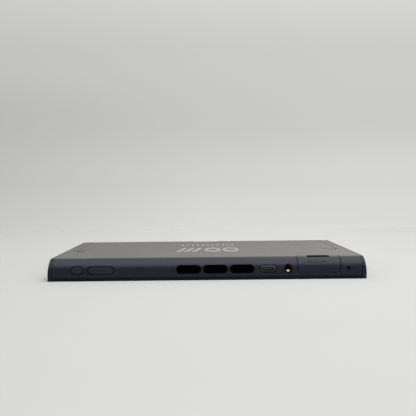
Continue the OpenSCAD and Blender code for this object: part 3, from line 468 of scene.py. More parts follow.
    def _seam(self) -> NodeTree:
        """Painted shade: a thin dark line along the edges of gaps and holes.

        Returns:
            The group.
        """
        bench, given, out = self._open(Effect.SEAM, {"Radius": 0.0003, "Amount": 0.8}, "Mask")
        edge = bench.spread(bench.turn(given["Radius"], samples=6), 0.995, 0.94)
        bench.join(bench.times(edge, given["Amount"], clamp=True), out["Mask"])
        return bench.tree

    def put(self, bench: Bench, effect: Effect, **values: object) -> SocketRow:
        """Places one effect in a material.

        Args:
            bench: The material's bench.
            effect: The effect.
            **values: Its inputs, with underscores for spaces.

        Returns:
            What the group puts out.
        """
        node = bench.add("ShaderNodeGroup")
        node.node_tree = self.groups[effect]
        for name, value in values.items():
            bench.feed(node.inputs[name.replace("_", " ")], value)
        return node.outputs


# ---------------------------------------------------------------- finishes


@dataclass(frozen=True)
class Finish:
    """What every finish has: a name, two close colours and a range of roughness.

    Scales are in repeats per metre, and depths and radii in metres.
    """

    name: str
    colour: Colour
    shade: Colour
    roughness: float = 0.5
    rough_spread: float = 0.08
    specular: float = 0.5
    drift_scale: float = 22.0

    def start(self, effects: EffectLibrary) -> tuple[Material, Bench, Node, NodeSocket]:
        """Makes the material with its shader.

        Args:
            effects: The shared effects.

        Returns:
            The material, its bench, its Principled shader and its drifting base colour.
        """
        material, bench = start_material(self.name)
        shader = bench.add("ShaderNodeBsdfPrincipled")
        bench.join(shader.outputs[0], bench.add("ShaderNodeOutputMaterial").inputs[0])
        near, far = rgba(self.colour), rgba(self.shade)
        drift = effects.put(bench, Effect.DRIFT, Colour_A=near, Colour_B=far, Scale=self.drift_scale)
        shader.inputs["Specular IOR Level"].default_value = self.specular
        material.diffuse_color = near
        return material, bench, shader, drift["Colour"]

    def roughen(self, bench: Bench, shader: Node, mask: NodeSocket, smooths: bool = True) -> None:
        """Lets a mask move the roughness about its middle value.

        Args:
            bench: The material's bench.
            shader: Its shader.
            mask: A value from 0 to 1.
            smooths: Whether the surface is smoother, and not rougher, where the mask is 1.
        """
        ends = self.roughness + self.rough_spread, self.roughness - self.rough_spread
        clear, masked = ends if smooths else ends[::-1]
        bench.join(bench.spread(mask, 0.0, 1.0, clear, masked), shader.inputs["Roughness"])

    def bump(self, bench: Bench, shader: Node, height: NodeSocket, depth: float) -> None:
        """Adds relief.

        Args:
            bench: The material's bench.
            shader: Its shader.
            height: Height from 0 to 1.
            depth: Real depth in metres.
        """
        node = bench.add("ShaderNodeBump")
        node.inputs["Distance"].default_value = depth
        bench.join(height, node.inputs["Height"])
        bench.join(node.outputs[0], shader.inputs["Normal"])

    def build(self, effects: EffectLibrary) -> Material:
        """Makes the material."""
        raise NotImplementedError


@dataclass(frozen=True)
class MouldedPlastic(Finish):
    """Moulded plastic with a fine grain, wiped faces and rubbed edges."""

    grain_scale: float = 2600.0
    grain_depth: float = 0.000012
    worn: Colour = (0.05, 0.052, 0.058)
    wear: float = 0.25
    wear_radius: float = 0.0003
    handling: float = 0.6
    dust: float = 0.0
    coat: float = 0.0
    # reach and radius of the painted shade in gaps and along gap edges, 0 for none
    crevice: float = 0.0
    seam: float = 0.0
    grain_share: float = 0.3
    coat_roughness: float = 0.12

    def build(self, effects: EffectLibrary) -> Material:
        """Makes the material.

        Args:
            effects: The shared effects.

        Returns:
            The material.
        """
        material, bench, shader, base = self.start(effects)
        wear = effects.put(bench, Effect.WEAR, Radius=self.wear_radius, Amount=self.wear)
        colour = bench.mix(wear["Mask"], base, self.worn)
        if self.dust:
            colour = bench.mix(effects.put(bench, Effect.DUST, Amount=self.dust)["Mask"], colour, LINT)
        # painted shade: gaps and gap edges turn near-black, and the same mask sets Metallic so that no
        # reflection shows there
        if self.crevice:
            painted_shade_mask = effects.put(bench, Effect.CREVICE, Reach=self.crevice)["Mask"]
            if self.seam:
                line = effects.put(bench, Effect.SEAM, Radius=self.seam)
                painted_shade_mask = bench.maths("MAXIMUM", painted_shade_mask, line["Mask"])
            colour = bench.mix(painted_shade_mask, colour, PAINTED_SHADE_COLOUR)
            bench.join(painted_shade_mask, shader.inputs["Metallic"])
        bench.join(colour, shader.inputs["Base Color"])
        grain = effects.put(bench, Effect.GRAIN, Scale=self.grain_scale)
        hands = effects.put(bench, Effect.HANDLING, Amount=self.handling)
        mask = bench.maths("ADD", hands["Mask"], bench.times(grain["Mask"], self.grain_share), clamp=True)
        self.roughen(bench, shader, mask)
        self.bump(bench, shader, grain["Height"], self.grain_depth)
        if self.coat:
            shader.inputs["Coat Weight"].default_value = self.coat
            shader.inputs["Coat Roughness"].default_value = self.coat_roughness
        return material


@dataclass(frozen=True)
class SheetMetal(Finish):
    """Bare, plated or cast metal with rolled or brushed lines.

    With mouth_y set, painted shade darkens it behind the mouth of a socket, and the mouth keeps the metal's
    own colour.
    With a pair of heights set, painted shade also darkens it from the second height down to the first.
    """

    line_scale: float = 1500.0
    direction: Point = (0.03, 1.0, 1.0)
    line_depth: float = 0.000004
    tarnish: float = 0.2
    dulled: float = 0.72
    # painted shade inside a socket: where it starts and how far it fades in, how dark it gets at the lower
    # height, its colour and the heights over which it darkens towards the bottom
    mouth_y: float = 0.0
    mouth_fade: float = 0.0006
    low_shade_share: float = 0.8
    inner_shade_colour: Colour = (0.012, 0.012, 0.013)
    low_shade_z: Pair = (0.0, 0.0)

    def build(self, effects: EffectLibrary) -> Material:
        """Makes the material.

        Args:
            effects: The shared effects.

        Returns:
            The material.
        """
        material, bench, shader, base = self.start(effects)
        shader.inputs["Metallic"].default_value = 1.0
        lines = effects.put(bench, Effect.BRUSHING, Scale=self.line_scale, Direction=self.direction)
        dull = tuple(c * self.dulled for c in self.shade)
        colour = bench.mix(bench.times(lines["Mask"], self.tarnish), base, dull)
        # painted shade: dark behind the socket's mouth and towards its bottom
        if self.mouth_y:
            _, y, z = bench.axes(bench.place())
            depth = bench.maths("ABSOLUTE", y)
            inside = bench.spread(depth, self.mouth_y, self.mouth_y - self.mouth_fade)
            if any(self.low_shade_z):
                inside = bench.maths("MAXIMUM", inside, bench.spread(z, *self.low_shade_z, self.low_shade_share, 0.0))
            colour = bench.mix(inside, colour, self.inner_shade_colour)
        bench.join(colour, shader.inputs["Base Color"])
        self.roughen(bench, shader, lines["Mask"])
        self.bump(bench, shader, lines["Height"], self.line_depth)
        return material


@dataclass(frozen=True)
class CoverGlass(Finish):
    """Black cover glass: a bare border and, inside it, the switched-off display."""

    cell: Colour = (0.012, 0.013, 0.017)
    cell_half: Pair = (0.0872, 0.0492)
    smudge: float = 0.7
    smudge_scale: float = 26.0
    ripple_scale: float = 9.0
    ripple_depth: float = 0.00002
    ior: float = 1.5

    def build(self, effects: EffectLibrary) -> Material:
        """Makes the material.

        Args:
            effects: The shared effects.

        Returns:
            The material.
        """
        material, bench, shader, base = self.start(effects)
        within = [
            bench.maths("LESS_THAN", bench.maths("ABSOLUTE", axis), half)
            for axis, half in zip(bench.axes(bench.place()), self.cell_half)
        ]
        bench.join(bench.mix(bench.times(*within), base, self.cell), shader.inputs["Base Color"])
        hands = effects.put(bench, Effect.HANDLING, Scale=self.smudge_scale, Amount=self.smudge)
        self.roughen(bench, shader, hands["Mask"], smooths=False)
        ripple = bench.noise(bench.place(), self.ripple_scale, detail=2.0)
        self.bump(bench, shader, ripple, self.ripple_depth)
        shader.inputs["IOR"].default_value = self.ior
        return material


@dataclass(frozen=True)
class CircuitBoard(Finish):
    """Solder mask over copper tracks, with tinned pads."""

    track: Colour = (0.035, 0.17, 0.09)
    pad: Colour = (0.62, 0.58, 0.45)
    track_scale: float = 420.0
    waves: float = 42.0
    ring_level: float = 0.35
    pad_share: float = 0.07
    relief: float = 0.00003

    def build(self, effects: EffectLibrary) -> Material:
        """Makes the material.

        Args:
            effects: The shared effects.

        Returns:
            The material.
        """
        material, bench, shader, base = self.start(effects)
        cells = bench.cells(bench.place(), self.track_scale, feature="F1", distance="CHEBYCHEV")
        waves = bench.maths("SINE", bench.times(cells, self.waves))
        rings = bench.maths("GREATER_THAN", waves, self.ring_level)
        pads = bench.maths("LESS_THAN", cells, self.pad_share)
        colour = bench.mix(pads, bench.mix(rings, base, self.track), self.pad)
        bench.join(colour, shader.inputs["Base Color"])
        self.roughen(bench, shader, rings)
        self.bump(bench, shader, bench.maths("ADD", rings, pads), self.relief)
        return material


class FinishCard:
    """All finishes of the tablet, built on first use."""

    COVER = MouldedPlastic("cover_plastic", (0.0088, 0.0120, 0.0235), (0.0102, 0.0135, 0.0255), 0.22, 0.04,
                           specular=0.45, wear=0.12, handling=0.5, dust=0.05, crevice=0.0008, seam=0.0003)
    RAIL = MouldedPlastic("rail_plastic", (0.0080, 0.0108, 0.0205), (0.0094, 0.0122, 0.0225), 0.24, 0.04,
                          specular=0.4, wear=0.25, wear_radius=0.0004, grain_scale=3000.0,
                          crevice=0.0007, seam=0.0003)
    KEY = MouldedPlastic("key_plastic", (0.0130, 0.0165, 0.0275), (0.0145, 0.0180, 0.0295), 0.24, 0.04,
                         specular=0.5, wear=0.08, wear_radius=0.0003, grain_scale=3400.0, crevice=0.0009)
    RIM = MouldedPlastic("rim_plastic", (0.0042, 0.0056, 0.0090), (0.0052, 0.0066, 0.0105), 0.33, 0.05,
                         specular=0.2, wear=0.2, grain_scale=3000.0)
    STAND = MouldedPlastic("stand_coating", (0.0092, 0.0124, 0.0235), (0.0106, 0.0138, 0.0255), 0.22, 0.04,
                           specular=0.45, wear=0.25, wear_radius=0.0003, grain_scale=3600.0, dust=0.1)
    BLACK = MouldedPlastic("black_plastic", (0.006, 0.006, 0.0065), (0.009, 0.009, 0.010), 0.5, 0.06,
                           wear=0.15, grain_scale=3600.0)
    PITCH = MouldedPlastic("pitch_black", (0.0010, 0.0010, 0.0013), (0.0014, 0.0014, 0.0018), 0.85, 0.05,
                           specular=0.05, grain_scale=2200.0, grain_depth=0.00004, wear=0.0)
    CHIP = MouldedPlastic("chip_package", (0.012, 0.012, 0.013), (0.018, 0.018, 0.019), 0.42, 0.06,
                          wear=0.2)
    WRAP = MouldedPlastic("battery_wrap", (0.03, 0.033, 0.04), (0.04, 0.043, 0.05), 0.28, 0.08,
                          grain_scale=400.0, grain_depth=0.00003, wear=0.1, coat=0.4)
    FILM = MouldedPlastic("display_film", (0.02, 0.02, 0.024), (0.03, 0.03, 0.034), 0.2, 0.05,
                          grain_scale=900.0, grain_depth=0.000004, wear=0.1, coat=0.6)
    DIFFUSER = MouldedPlastic("diffuser_film", (0.72, 0.73, 0.75), (0.78, 0.79, 0.8), 0.4, 0.06,
                              grain_scale=3000.0, grain_depth=0.000005, worn=(0.6, 0.6, 0.6), wear=0.1)
    RUBBER = MouldedPlastic("black_rubber", (0.009, 0.009, 0.009), (0.013, 0.013, 0.013), 0.8, 0.06,
                            specular=0.3, grain_scale=1800.0, grain_depth=0.00003, wear=0.2, dust=0.3)
    SMOKED = MouldedPlastic("smoked_lens", (0.018, 0.021, 0.021), (0.024, 0.027, 0.026), 0.3, 0.05,
                            specular=0.3, grain_scale=1500.0, grain_depth=0.000002, wear=0.0)
    INK = MouldedPlastic("print_ink", (0.40, 0.40, 0.385), (0.47, 0.47, 0.455), 0.55, 0.05,
                         specular=0.4, grain_scale=5000.0, grain_depth=0.000004,
                         worn=(0.2, 0.2, 0.2), wear=0.1)
    FAINT_INK = MouldedPlastic("faint_ink", (0.021, 0.025, 0.035), (0.026, 0.030, 0.041), 0.4, 0.05,
                               grain_scale=5000.0, grain_depth=0.000004, wear=0.0)
    DARK_INK = MouldedPlastic("dark_ink", (0.0050, 0.0062, 0.0100), (0.0060, 0.0072, 0.0110), 0.4, 0.05,
                              specular=0.12, grain_scale=5000.0, grain_depth=0.000004, wear=0.0)
    TONGUE = MouldedPlastic("tongue_plastic", (0.040, 0.040, 0.044), (0.052, 0.052, 0.056), 0.5, 0.05,
                            grain_scale=4000.0, grain_depth=0.000004, wear=0.1)
    STEEL = SheetMetal("steel", (0.56, 0.56, 0.58), (0.62, 0.62, 0.64), 0.3, 0.08, specular=0.5)
    DARK_STEEL = SheetMetal("dark_steel", (0.12, 0.12, 0.125), (0.17, 0.17, 0.175), 0.38, 0.08)
    TIN = SheetMetal("tin_plate", (0.60, 0.585, 0.56), (0.68, 0.665, 0.64), 0.27, 0.08,
                     direction=(1.0, 0.05, 1.0))
    GOLD = SheetMetal("gold_plate", (0.90, 0.70, 0.29), (0.95, 0.76, 0.36), 0.26, 0.06)
    # the socket shells carry painted shade inside and towards their bottom
    NICKEL = SheetMetal("nickel_plate", (0.66, 0.61, 0.57), (0.72, 0.67, 0.63), 0.3, 0.08,
                        mouth_y=0.0574, low_shade_z=(0.0052, 0.0084))
    FINS = SheetMetal("black_fins", (0.004, 0.004, 0.0045), (0.006, 0.006, 0.0065), 0.7, 0.08)
    COPPER = SheetMetal("copper", (0.72, 0.36, 0.22), (0.80, 0.44, 0.28), 0.3, 0.08, tarnish=0.35)
    BRONZE = SheetMetal("bronze", (0.55, 0.38, 0.18), (0.62, 0.44, 0.22), 0.4, 0.08)
    ALLOY = SheetMetal("cast_alloy", (0.50, 0.51, 0.53), (0.56, 0.57, 0.59), 0.5, 0.08,
                       line_scale=2200.0, direction=(1.0, 1.0, 1.0), line_depth=0.00001)
    GLASS = CoverGlass("cover_glass", (0.0035, 0.0035, 0.0040), (0.0045, 0.0045, 0.0050), 0.09, 0.05)
    BOARD = CircuitBoard("circuit_board", (0.012, 0.085, 0.045), (0.016, 0.10, 0.055), 0.35, 0.08)

    def __init__(self) -> None:
        """Builds the shared effects and starts with no material."""
        self.effects = EffectLibrary()
        self.made: dict[str, Material] = {}

    def get(self, finish: Finish) -> Material:
        """The material of a finish.

        Args:
            finish: The finish.

        Returns:
            Its material, made on first use.
        """
        if finish.name not in self.made:
            self.made[finish.name] = finish.build(self.effects)
        return self.made[finish.name]


# ---------------------------------------------------------------- mesh helpers


def soften(obj: bpy.types.Object, width: float) -> None:
    """Welds the seams between faces and rounds the edges a little.

    Args:
        obj: The object.
        width: Width of the rounding in metres, or 0 for none.
    """
    stored = obj.data.attributes.get("custom_normal")
    if stored is not None:
        obj.data.attributes.remove(stored)
    obj.modifiers.new("weld", "WELD").merge_threshold = WELD_REACH
    if width > 0:
        bevel = obj.modifiers.new("edge_break", "BEVEL")
        bevel.width, bevel.segments = width, ROUND_STEPS
        bevel.limit_method, bevel.angle_limit = "ANGLE", ROUND_FROM
        bevel.use_clamp_overlap = bevel.harden_normals = True
        bevel.miter_outer = "MITER_ARC"
    obj.data.polygons.foreach_set("use_smooth", [True] * len(obj.data.polygons))
    split = obj.modifiers.new("hard_edges", "EDGE_SPLIT")
    split.split_angle, split.use_edge_sharp = SPLIT_FROM, False


def dress(node: str, material: Material, edge: float) -> None:
    """Gives one solid its material and softened edges.

    Args:
        node: Its name.
        material: The material.
        edge: Width of its edge rounding in millimetres.
    """
    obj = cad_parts[node]
    obj.data.materials.clear()
    obj.data.materials.append(material)
    soften(obj, edge * MM)
    LOG.info("solid %s: %s", node, material.name)


def add_piece(name: str, mesh: Mesh, material: Material, body: Body) -> None:
    """Puts a new piece in the scene.

    Args:
        name: Its name.
        mesh: Its mesh, in the row's frame.
        material: Its material.
        body: The body it rides on.
    """
    obj = bpy.data.objects.new(name, mesh)
    bpy.context.scene.collection.objects.link(obj)
    mesh.materials.append(material)
    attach(obj, body.value)
    LOG.info("piece %s: %d faces, rides on %s", name, len(mesh.polygons), body.value)


def to_mesh(name: str, bm: bmesh.types.BMesh) -> Mesh:
    """Turns a bmesh into a mesh with outward normals.

    Args:
        name: The mesh's name.
        bm: The bmesh, freed afterwards.

    Returns:
        The mesh.
    """
    bmesh.ops.recalc_face_normals(bm, faces=bm.faces)
    mesh = bpy.data.meshes.new(name)
    bm.to_mesh(mesh)
    bm.free()
    return mesh


def slab(bm: bmesh.types.BMesh, outline: Outline, place: Place, low: float, high: float) -> None:
    """Adds a closed slab over an outline.

    Args:
        bm: Where it goes.
        outline: Its corners, counter-clockwise.
        place: Turns outline coordinates and a height into a point.
        low: Height of its lower face.
        high: Height of its upper face.
    """
    under = [bm.verts.new(place(u, v, low)) for u, v in outline]
    over = [bm.verts.new(place(u, v, high)) for u, v in outline]
    bm.faces.new(list(reversed(under)))
    bm.faces.new(over)
    count = len(outline)
    for i in range(count):
        j = (i + 1) % count
        bm.faces.new((under[i], under[j], over[j], over[i]))


def bar(x: float, y: float, w: float, h: float, steps: int = 5) -> Outline:
    """Outline of a bar with round ends.

    Args:
        x: Centre.
        y: Centre.
        w: Length over its ends, along x.
        h: Height.
        steps: Corners on each end.

    Returns:
        Its corners.
    """
    r = h / 2
    points: Outline = []
    for side, start in ((1, -90.0), (-1, 90.0)):
        for i in range(steps + 1):
            a = math.radians(start + 180.0 * i / steps)
            points.append((x + side * (w / 2 - r) + r * math.cos(a), y + r * math.sin(a)))
    return points


def turned(outline: Outline, x: float, y: float, degrees: float) -> Outline:
    """An outline turned about a point.

    Args:
        outline: The corners.
        x: The point.
        y: The point.
        degrees: The angle, counter-clockwise.

    Returns:
        The turned corners.
    """
    c, s = math.cos(math.radians(degrees)), math.sin(math.radians(degrees))
    return [(x + (u - x) * c - (v - y) * s, y + (u - x) * s + (v - y) * c) for u, v in outline]


def arc_band(centre: Pair, radii: Pair, width: Pair, start: float, stop: float, steps: int = 18) -> Outline:
    """Outline of an arc of an ellipse, drawn with a broad pen.

    Args:
        centre: The ellipse's centre.
        radii: Its radii to the middle of the line.
        width: The line's width along each axis.
        start: First angle in degrees.
        stop: Last angle in degrees.
        steps: Pieces.

    Returns:
        Its corners.
    """
    sides: list[Outline] = []
    for half in (0.5, -0.5):
        rx, ry = radii[0] + half * width[0], radii[1] + half * width[1]
        angles = [math.radians(start + (stop - start) * i / steps) for i in range(steps + 1)]
        sides.append([(centre[0] + rx * math.cos(a), centre[1] + ry * math.sin(a)) for a in angles])
    return sides[0] + list(reversed(sides[1]))


def full_ring(centre: Pair, radii: Pair, width: Pair) -> list[Outline]:
    """Outlines of the two halves of a ring.

    Args:
        centre: Its centre.
        radii: Its radii to the middle of the line.
        width: The line's width along each axis.

    Returns:
        Two outlines.
    """
    return [arc_band(centre, radii, width, start, start + 180.0) for start in (0.0, 180.0)]


# ---------------------------------------------------------------- sub-assemblies


Edges = dict[str, tuple[Finish, float]]


@dataclass
class SubAssembly:
    """A group of solids, each with its finish and the width of its edge rounding.

    All sizes of the groups are in millimetres, in the frame of the solids.
    """

    edges: ClassVar[Edges] = {}

    finishes: FinishCard

    def dress(self) -> None:
        """Gives every solid of the group its finish and edge rounding."""
        for node, (finish, edge) in self.edges.items():
            dress(node, self.finishes.get(finish), edge)

    def build(self) -> None:
        """Adds the group's own pieces; most groups have none."""

    def add_slabs(
        self, name: str, outlines: Iterable[Outline], place: Place, depth: Pair,
        finish: Finish, body: Body, slot: str,
    ) -> None:
        """Adds one piece that is made of slabs.

        Args:
            name: Its name.
            outlines: Outline of each slab.
            place: Turns outline coordinates and a height into a point.
            depth: Heights of the lower and the upper face.
            finish: Its finish.
            body: The body it rides on.
            slot: The record's material slot; not used.
        """
        bm = bmesh.new()
        for outline in outlines:
            slab(bm, outline, place, *depth)
        add_piece(name, to_mesh(name, bm), self.finishes.get(finish), body)


@dataclass
class DisplaySide(SubAssembly):
    """Cover glass, display layers, their frame and the metal mid frame."""

    edges: ClassVar[Edges] = {
        "front_glass": (FinishCard.GLASS, 0.18),
        "touch_layer": (FinishCard.FILM, 0.0),
        "lcd_panel": (FinishCard.FILM, 0.0),
        "backlight": (FinishCard.DIFFUSER, 0.0),
        "front_frame": (FinishCard.RIM, 0.08),
        "mid_frame": (FinishCard.ALLOY, 0.0),
    }


@dataclass
class RearShell(SubAssembly):
    """Rear cover with its screws, sensor window, printed marks and a black rim of painted shade round the
    microphone slot.
    """

    edges: ClassVar[Edges] = {
        "rear_cover": (FinishCard.COVER, 0.22),
        "cover_screws": (FinishCard.DARK_STEEL, 0.0),
        "light_sensor": (FinishCard.SMOKED, 0.1),
        "microphone": (FinishCard.PITCH, 0.0),
    }

    half_depth: float = 58.0
    flat_y: float = 52.0
    edge_r: float = 6.0
    back: float = 13.9
    mark_line: float = 0.22
    mark_z: float = 10.3
    mark_length: float = 1.5
    mark_aside: float = 4.6
    band_rise: float = 0.75
    band_r: float = 0.95
    ear_aside: float = 0.85
    ear_drop: float = 0.25
    ear_size: Pair = (0.8, 0.42)
    rocker_x: float = -65.9
    jack_x: float = 50.0
    ring_at: Pair = (-41.2, 6.9)
    ring_radii: Pair = (1.9, 1.5)
    ring_line: Pair = (0.45, 0.4)
    slot_at: Pair = (87.4, 6.8)
    slot_size: Pair = (2.2, 1.0)
    # width of the black rim of painted shade round the microphone slot
    slot_shade_rim_width: float = 0.18
    hoop_x: Pair = (4.0, 16.6)
    hoop_y: float = -10.5
    hoop_radii: Pair = (4.7, 10.0)
    hoop_line: Pair = (1.8, 6.0)
    stroke_x: Point = (-21.0, -15.6, -10.2)
    stroke_y: Pair = (-23.0, 2.0)
    stroke_w: float = 2.4
    stroke_lean: float = 5.0
    strip_x: float = 1.0
    strip_y: float = 21.0
    strip_count: int = 11
    strip_pitch: float = 3.7
    strip_size: Pair = (8.0, 1.4)

    def side_point(self, u: float, v: float, h: float) -> Vector:
        """A point on the port side's skin.

        Args:
            u: Position along X, in millimetres.
            v: Height, followed along the skin round the back edge, in millimetres.
            h: Height above the skin, in millimetres.

        Returns:
            The point in metres.
        """
        start = self.back - self.edge_r
        if v <= start:
            return Vector((u, -self.half_depth - h, v)) * MM
        a = (v - start) / self.edge_r
        r = self.edge_r + h
        return Vector((u, -self.flat_y - r * math.cos(a), start + r * math.sin(a))) * MM

    def back_point(self, u: float, v: float, h: float) -> Vector:
        """A point on the back's skin, h millimetres above it."""
        return Vector((u, v, self.back + h)) * MM

    def key_marks(self) -> list[Outline]:
        """Plain symbols beside the volume rocker and the headphone socket.

        Returns:
            Their outlines.
        """
        z, line, ear = self.mark_z, self.mark_line, self.ear_size
        left, right = self.rocker_x - self.mark_aside, self.rocker_x + self.mark_aside
        dashes = [bar(x, z, self.mark_length, line) for x in (left, right)]
        marks = [*dashes, turned(dashes[0], left, z, 90.0)]
        z += self.band_rise
        marks.append(arc_band((self.jack_x, z), (self.band_r, self.band_r), (line, line), 0.0, 180.0))
        z -= self.ear_drop
        for x in (self.jack_x - self.ear_aside, self.jack_x + self.ear_aside):
            marks.append(turned(bar(x, z, *ear), x, z, 90.0))
        return marks

    def dark_ring(self) -> list[Outline]:
        """A dark ring on the side.

        Returns:
            Its outlines.
        """
        return full_ring(self.ring_at, self.ring_radii, self.ring_line)

    def slot_edge(self) -> list[Outline]:
        """Painted shade: a black rim on the skin round the microphone slot.

        Returns:
            Its outlines.
        """
        (x, z), (tall, wide), lip = self.slot_at, self.slot_size, 2 * self.slot_shade_rim_width
        outer, inner = (turned(bar(x, z, tall + more, wide + more), x, z, 90.0) for more in (lip, 0.0))
        outer, inner = outer + outer[:1], inner + inner[:1]
        half = len(outer) // 2
        return [outer[a:b] + inner[a:b][::-1] for a, b in ((0, half + 1), (half, len(outer)))]

    def back_pattern(self) -> list[Outline]:
        """Plain leaning strokes and hoops, with a row of short bars behind them.

        Returns:
            Their outlines.
        """
        low, high = self.stroke_y
        outlines = []
        for x in self.stroke_x:
            far = x + self.stroke_lean
            outlines.append([(x + self.stroke_w, low), (far + self.stroke_w, high), (far, high), (x, low)])
        for x in self.hoop_x:
            outlines += full_ring((x, self.hoop_y), self.hoop_radii, self.hoop_line)
        for i in range(self.strip_count):
            x = self.strip_x + (i - (self.strip_count - 1) / 2) * self.strip_pitch
            outlines.append(turned(bar(x, self.strip_y, *self.strip_size), x, self.strip_y, 90.0))
        return outlines

    def build(self) -> None:
        """Adds the printed marks and a black rim of painted shade round the microphone slot."""
        jobs = (
            ("key_marks", self.key_marks(), self.side_point, FinishCard.FAINT_INK),
            ("ring_mark", self.dark_ring(), self.side_point, FinishCard.DARK_INK),
            # painted shade: a black rim on the skin round the microphone slot
            ("microphone_shade_rim", self.slot_edge(), self.side_point, FinishCard.PITCH),
            ("back_pattern", self.back_pattern(), self.back_point, FinishCard.INK),
        )
        for name, outlines, place, mark_finish in jobs:
            self.add_slabs(name, outlines, place, MARK_DEPTH, mark_finish, Body.HOUSING, "cover_plastic")


@dataclass
class ControllerRails(SubAssembly):
    """The two end rails with their sockets, contacts and latch plates."""

    edges: ClassVar[Edges] = {
        "left_rail": (FinishCard.RAIL, 0.25),
        "right_rail": (FinishCard.RAIL, 0.25),
        "left_socket": (FinishCard.BLACK, 0.1),
        "right_socket": (FinishCard.BLACK, 0.1),
        "socket_contacts": (FinishCard.GOLD, 0.0),
        "latch_plates": (FinishCard.STEEL, 0.08),
        "rail_screws": (FinishCard.DARK_STEEL, 0.0),
    }


@dataclass
class Stand(SubAssembly):
    """The hinged stand with its pads, pins and brackets."""

    edges: ClassVar[Edges] = {
        "kickstand": (FinishCard.STAND, 0.16),
        "kickstand_pads": (FinishCard.RUBBER, 0.08),
        "hinge_pins": (FinishCard.STEEL, 0.0),
        "left_hinge_bracket": (FinishCard.STEEL, 0.05),
        "right_hinge_bracket": (FinishCard.STEEL, 0.05),
    }


@dataclass
class CardBay(SubAssembly):
    """The hinged card door and the reader behind it."""

    edges: ClassVar[Edges] = {
        "card_door": (FinishCard.COVER, 0.2),
        "card_door_pin": (FinishCard.DARK_STEEL, 0.0),
        "card_reader": (FinishCard.TIN, 0.08),
        "card_contacts": (FinishCard.GOLD, 0.0),
    }

    symbol_at: Pair = (67.7, 11.0)
    symbol_size: Pair = (3.0, 1.7)
    symbol_line: float = 0.35
    dash: Pair = (3.6, 0.55)
    dash_gap: float = 0.7

    def build(self) -> None:
        """Adds a faint plain card symbol between two dashes to the door."""
        (x, z), (wide, tall), line = self.symbol_at, self.symbol_size, self.symbol_line
        aside = wide / 2 + self.dash[0] / 2 + self.dash_gap
        marks = [bar(x, z + side * tall / 2, wide, line) for side in (-1, 1)]
        marks += [turned(bar(u, z, tall, line), u, z, 90.0) for u in (x - wide / 2, x + wide / 2)]
        marks += [bar(x + side * aside, z, *self.dash) for side in (-1, 1)]
        skin = RearShell(self.finishes).side_point
        mark_finish = FinishCard.DARK_INK
        self.add_slabs("door_symbol", marks, skin, MARK_DEPTH, mark_finish, Body.DOOR, "cover_plastic")


@dataclass
class Keys(SubAssembly):
    """Power key, volume rocker and what they press on."""

    edges: ClassVar[Edges] = {
        "power_key": (FinishCard.KEY, 0.35),
        "volume_rocker": (FinishCard.KEY, 0.35),
        "rocker_pin": (FinishCard.STEEL, 0.0),
        "rocker_bracket": (FinishCard.STEEL, 0.04),
        "key_board": (FinishCard.BOARD, 0.0),
        "key_switches": (FinishCard.TIN, 0.05),
    }


@dataclass
class Sockets(SubAssembly):
    """USB-C sockets and the headphone socket."""

    edges: ClassVar[Edges] = {
        "upper_usb_shell": (FinishCard.NICKEL, 0.1),
        "lower_usb_shell": (FinishCard.NICKEL, 0.1),
        "upper_usb_tongue": (FinishCard.TONGUE, 0.05),
        "lower_usb_tongue": (FinishCard.TONGUE, 0.05),
        "port_board": (FinishCard.BOARD, 0.0),
        "audio_jack": (FinishCard.RIM, 0.08),
        "jack_contact_ring": (FinishCard.GOLD, 0.05),
    }

    port_z: float = 6.8
    upper: Pair = (37.8, -58.0)
    lower: Pair = (0.0, 58.0)
    tongue_reach: Pair = (1.45, 4.6)
    pad_pitch: float = 0.5
    pad_w: float = 0.26
    pad_depth: Pair = (-0.02, 0.03)
    tongue_half: float = 0.35
    pads: int = 12
    jack_x: float = 50.0
    jack_r: float = 1.8
    spring_y: Pair = (-57.3, -56.1)
    spring_rise: float = 1.05
    spring_angle: float = 28.0
    spring_lean: float = 0.9
    spring_steps: int = 12
    crest: Pair = (1.5, 0.6)
    crest_cut: float = 0.35

    def build(self) -> None:
        """Adds the gold pads on both faces of each socket's tongue."""
        for name, (x, y) in (("upper_usb_pads", self.upper), ("lower_usb_pads", self.lower)):
            inward = 1.0 if y < 0 else -1.0
            low, high = sorted(y + inward * reach for reach in self.tongue_reach)
            bm = bmesh.new()
            for i in range(self.pads):
                u = x + (i - (self.pads - 1) / 2) * self.pad_pitch
                left, right = u - self.pad_w / 2, u + self.pad_w / 2
                for side in (-1, 1):
                    pad = [(left, low), (right, low), (right, high), (left, high)]
                    slab(bm, pad, self.tongue_face(side), *self.pad_depth)
            gold = self.finishes.get(FinishCard.GOLD)
            add_piece(name, to_mesh(name, bm), gold, Body.HOUSING)
        self.jack_spring()

    def tongue_face(self, side: int) -> Place:
        """Finds points above one face of a tongue.

        Args:
            side: 1 for the face towards the back, or -1 for the other.

        Returns:
            What turns outline coordinates and a height into a point.
        """
        z = self.port_z + side * self.tongue_half
        return lambda u, v, h: Vector((u, v, z + side * h)) * MM

    def jack_spring(self) -> None:
        """Adds the gold contact spring that bulges into the headphone socket from below."""
        x, r, foot = self.jack_x, self.jack_r, self.port_z - self.jack_r
        low, high = (math.radians(270 + side * self.spring_angle) for side in (-1, 1))
        arc = [low + (high - low) * i / self.spring_steps for i in range(self.spring_steps + 1)]
        outline = [(x + r * math.cos(a), self.port_z + r * math.sin(a)) for a in arc]
        top = foot + self.spring_rise
        crest = bar(x, top - self.crest[1] / 2, *self.crest)
        outline += [(u, v) for u, v in crest if v > top - self.crest_cut]
        self.add_slabs(
            "jack_spring", [outline],
            lambda u, v, h: Vector((u, h + self.spring_lean * (v - foot), v)) * MM,
            self.spring_y, FinishCard.GOLD, Body.HOUSING, "gold_contact",
        )


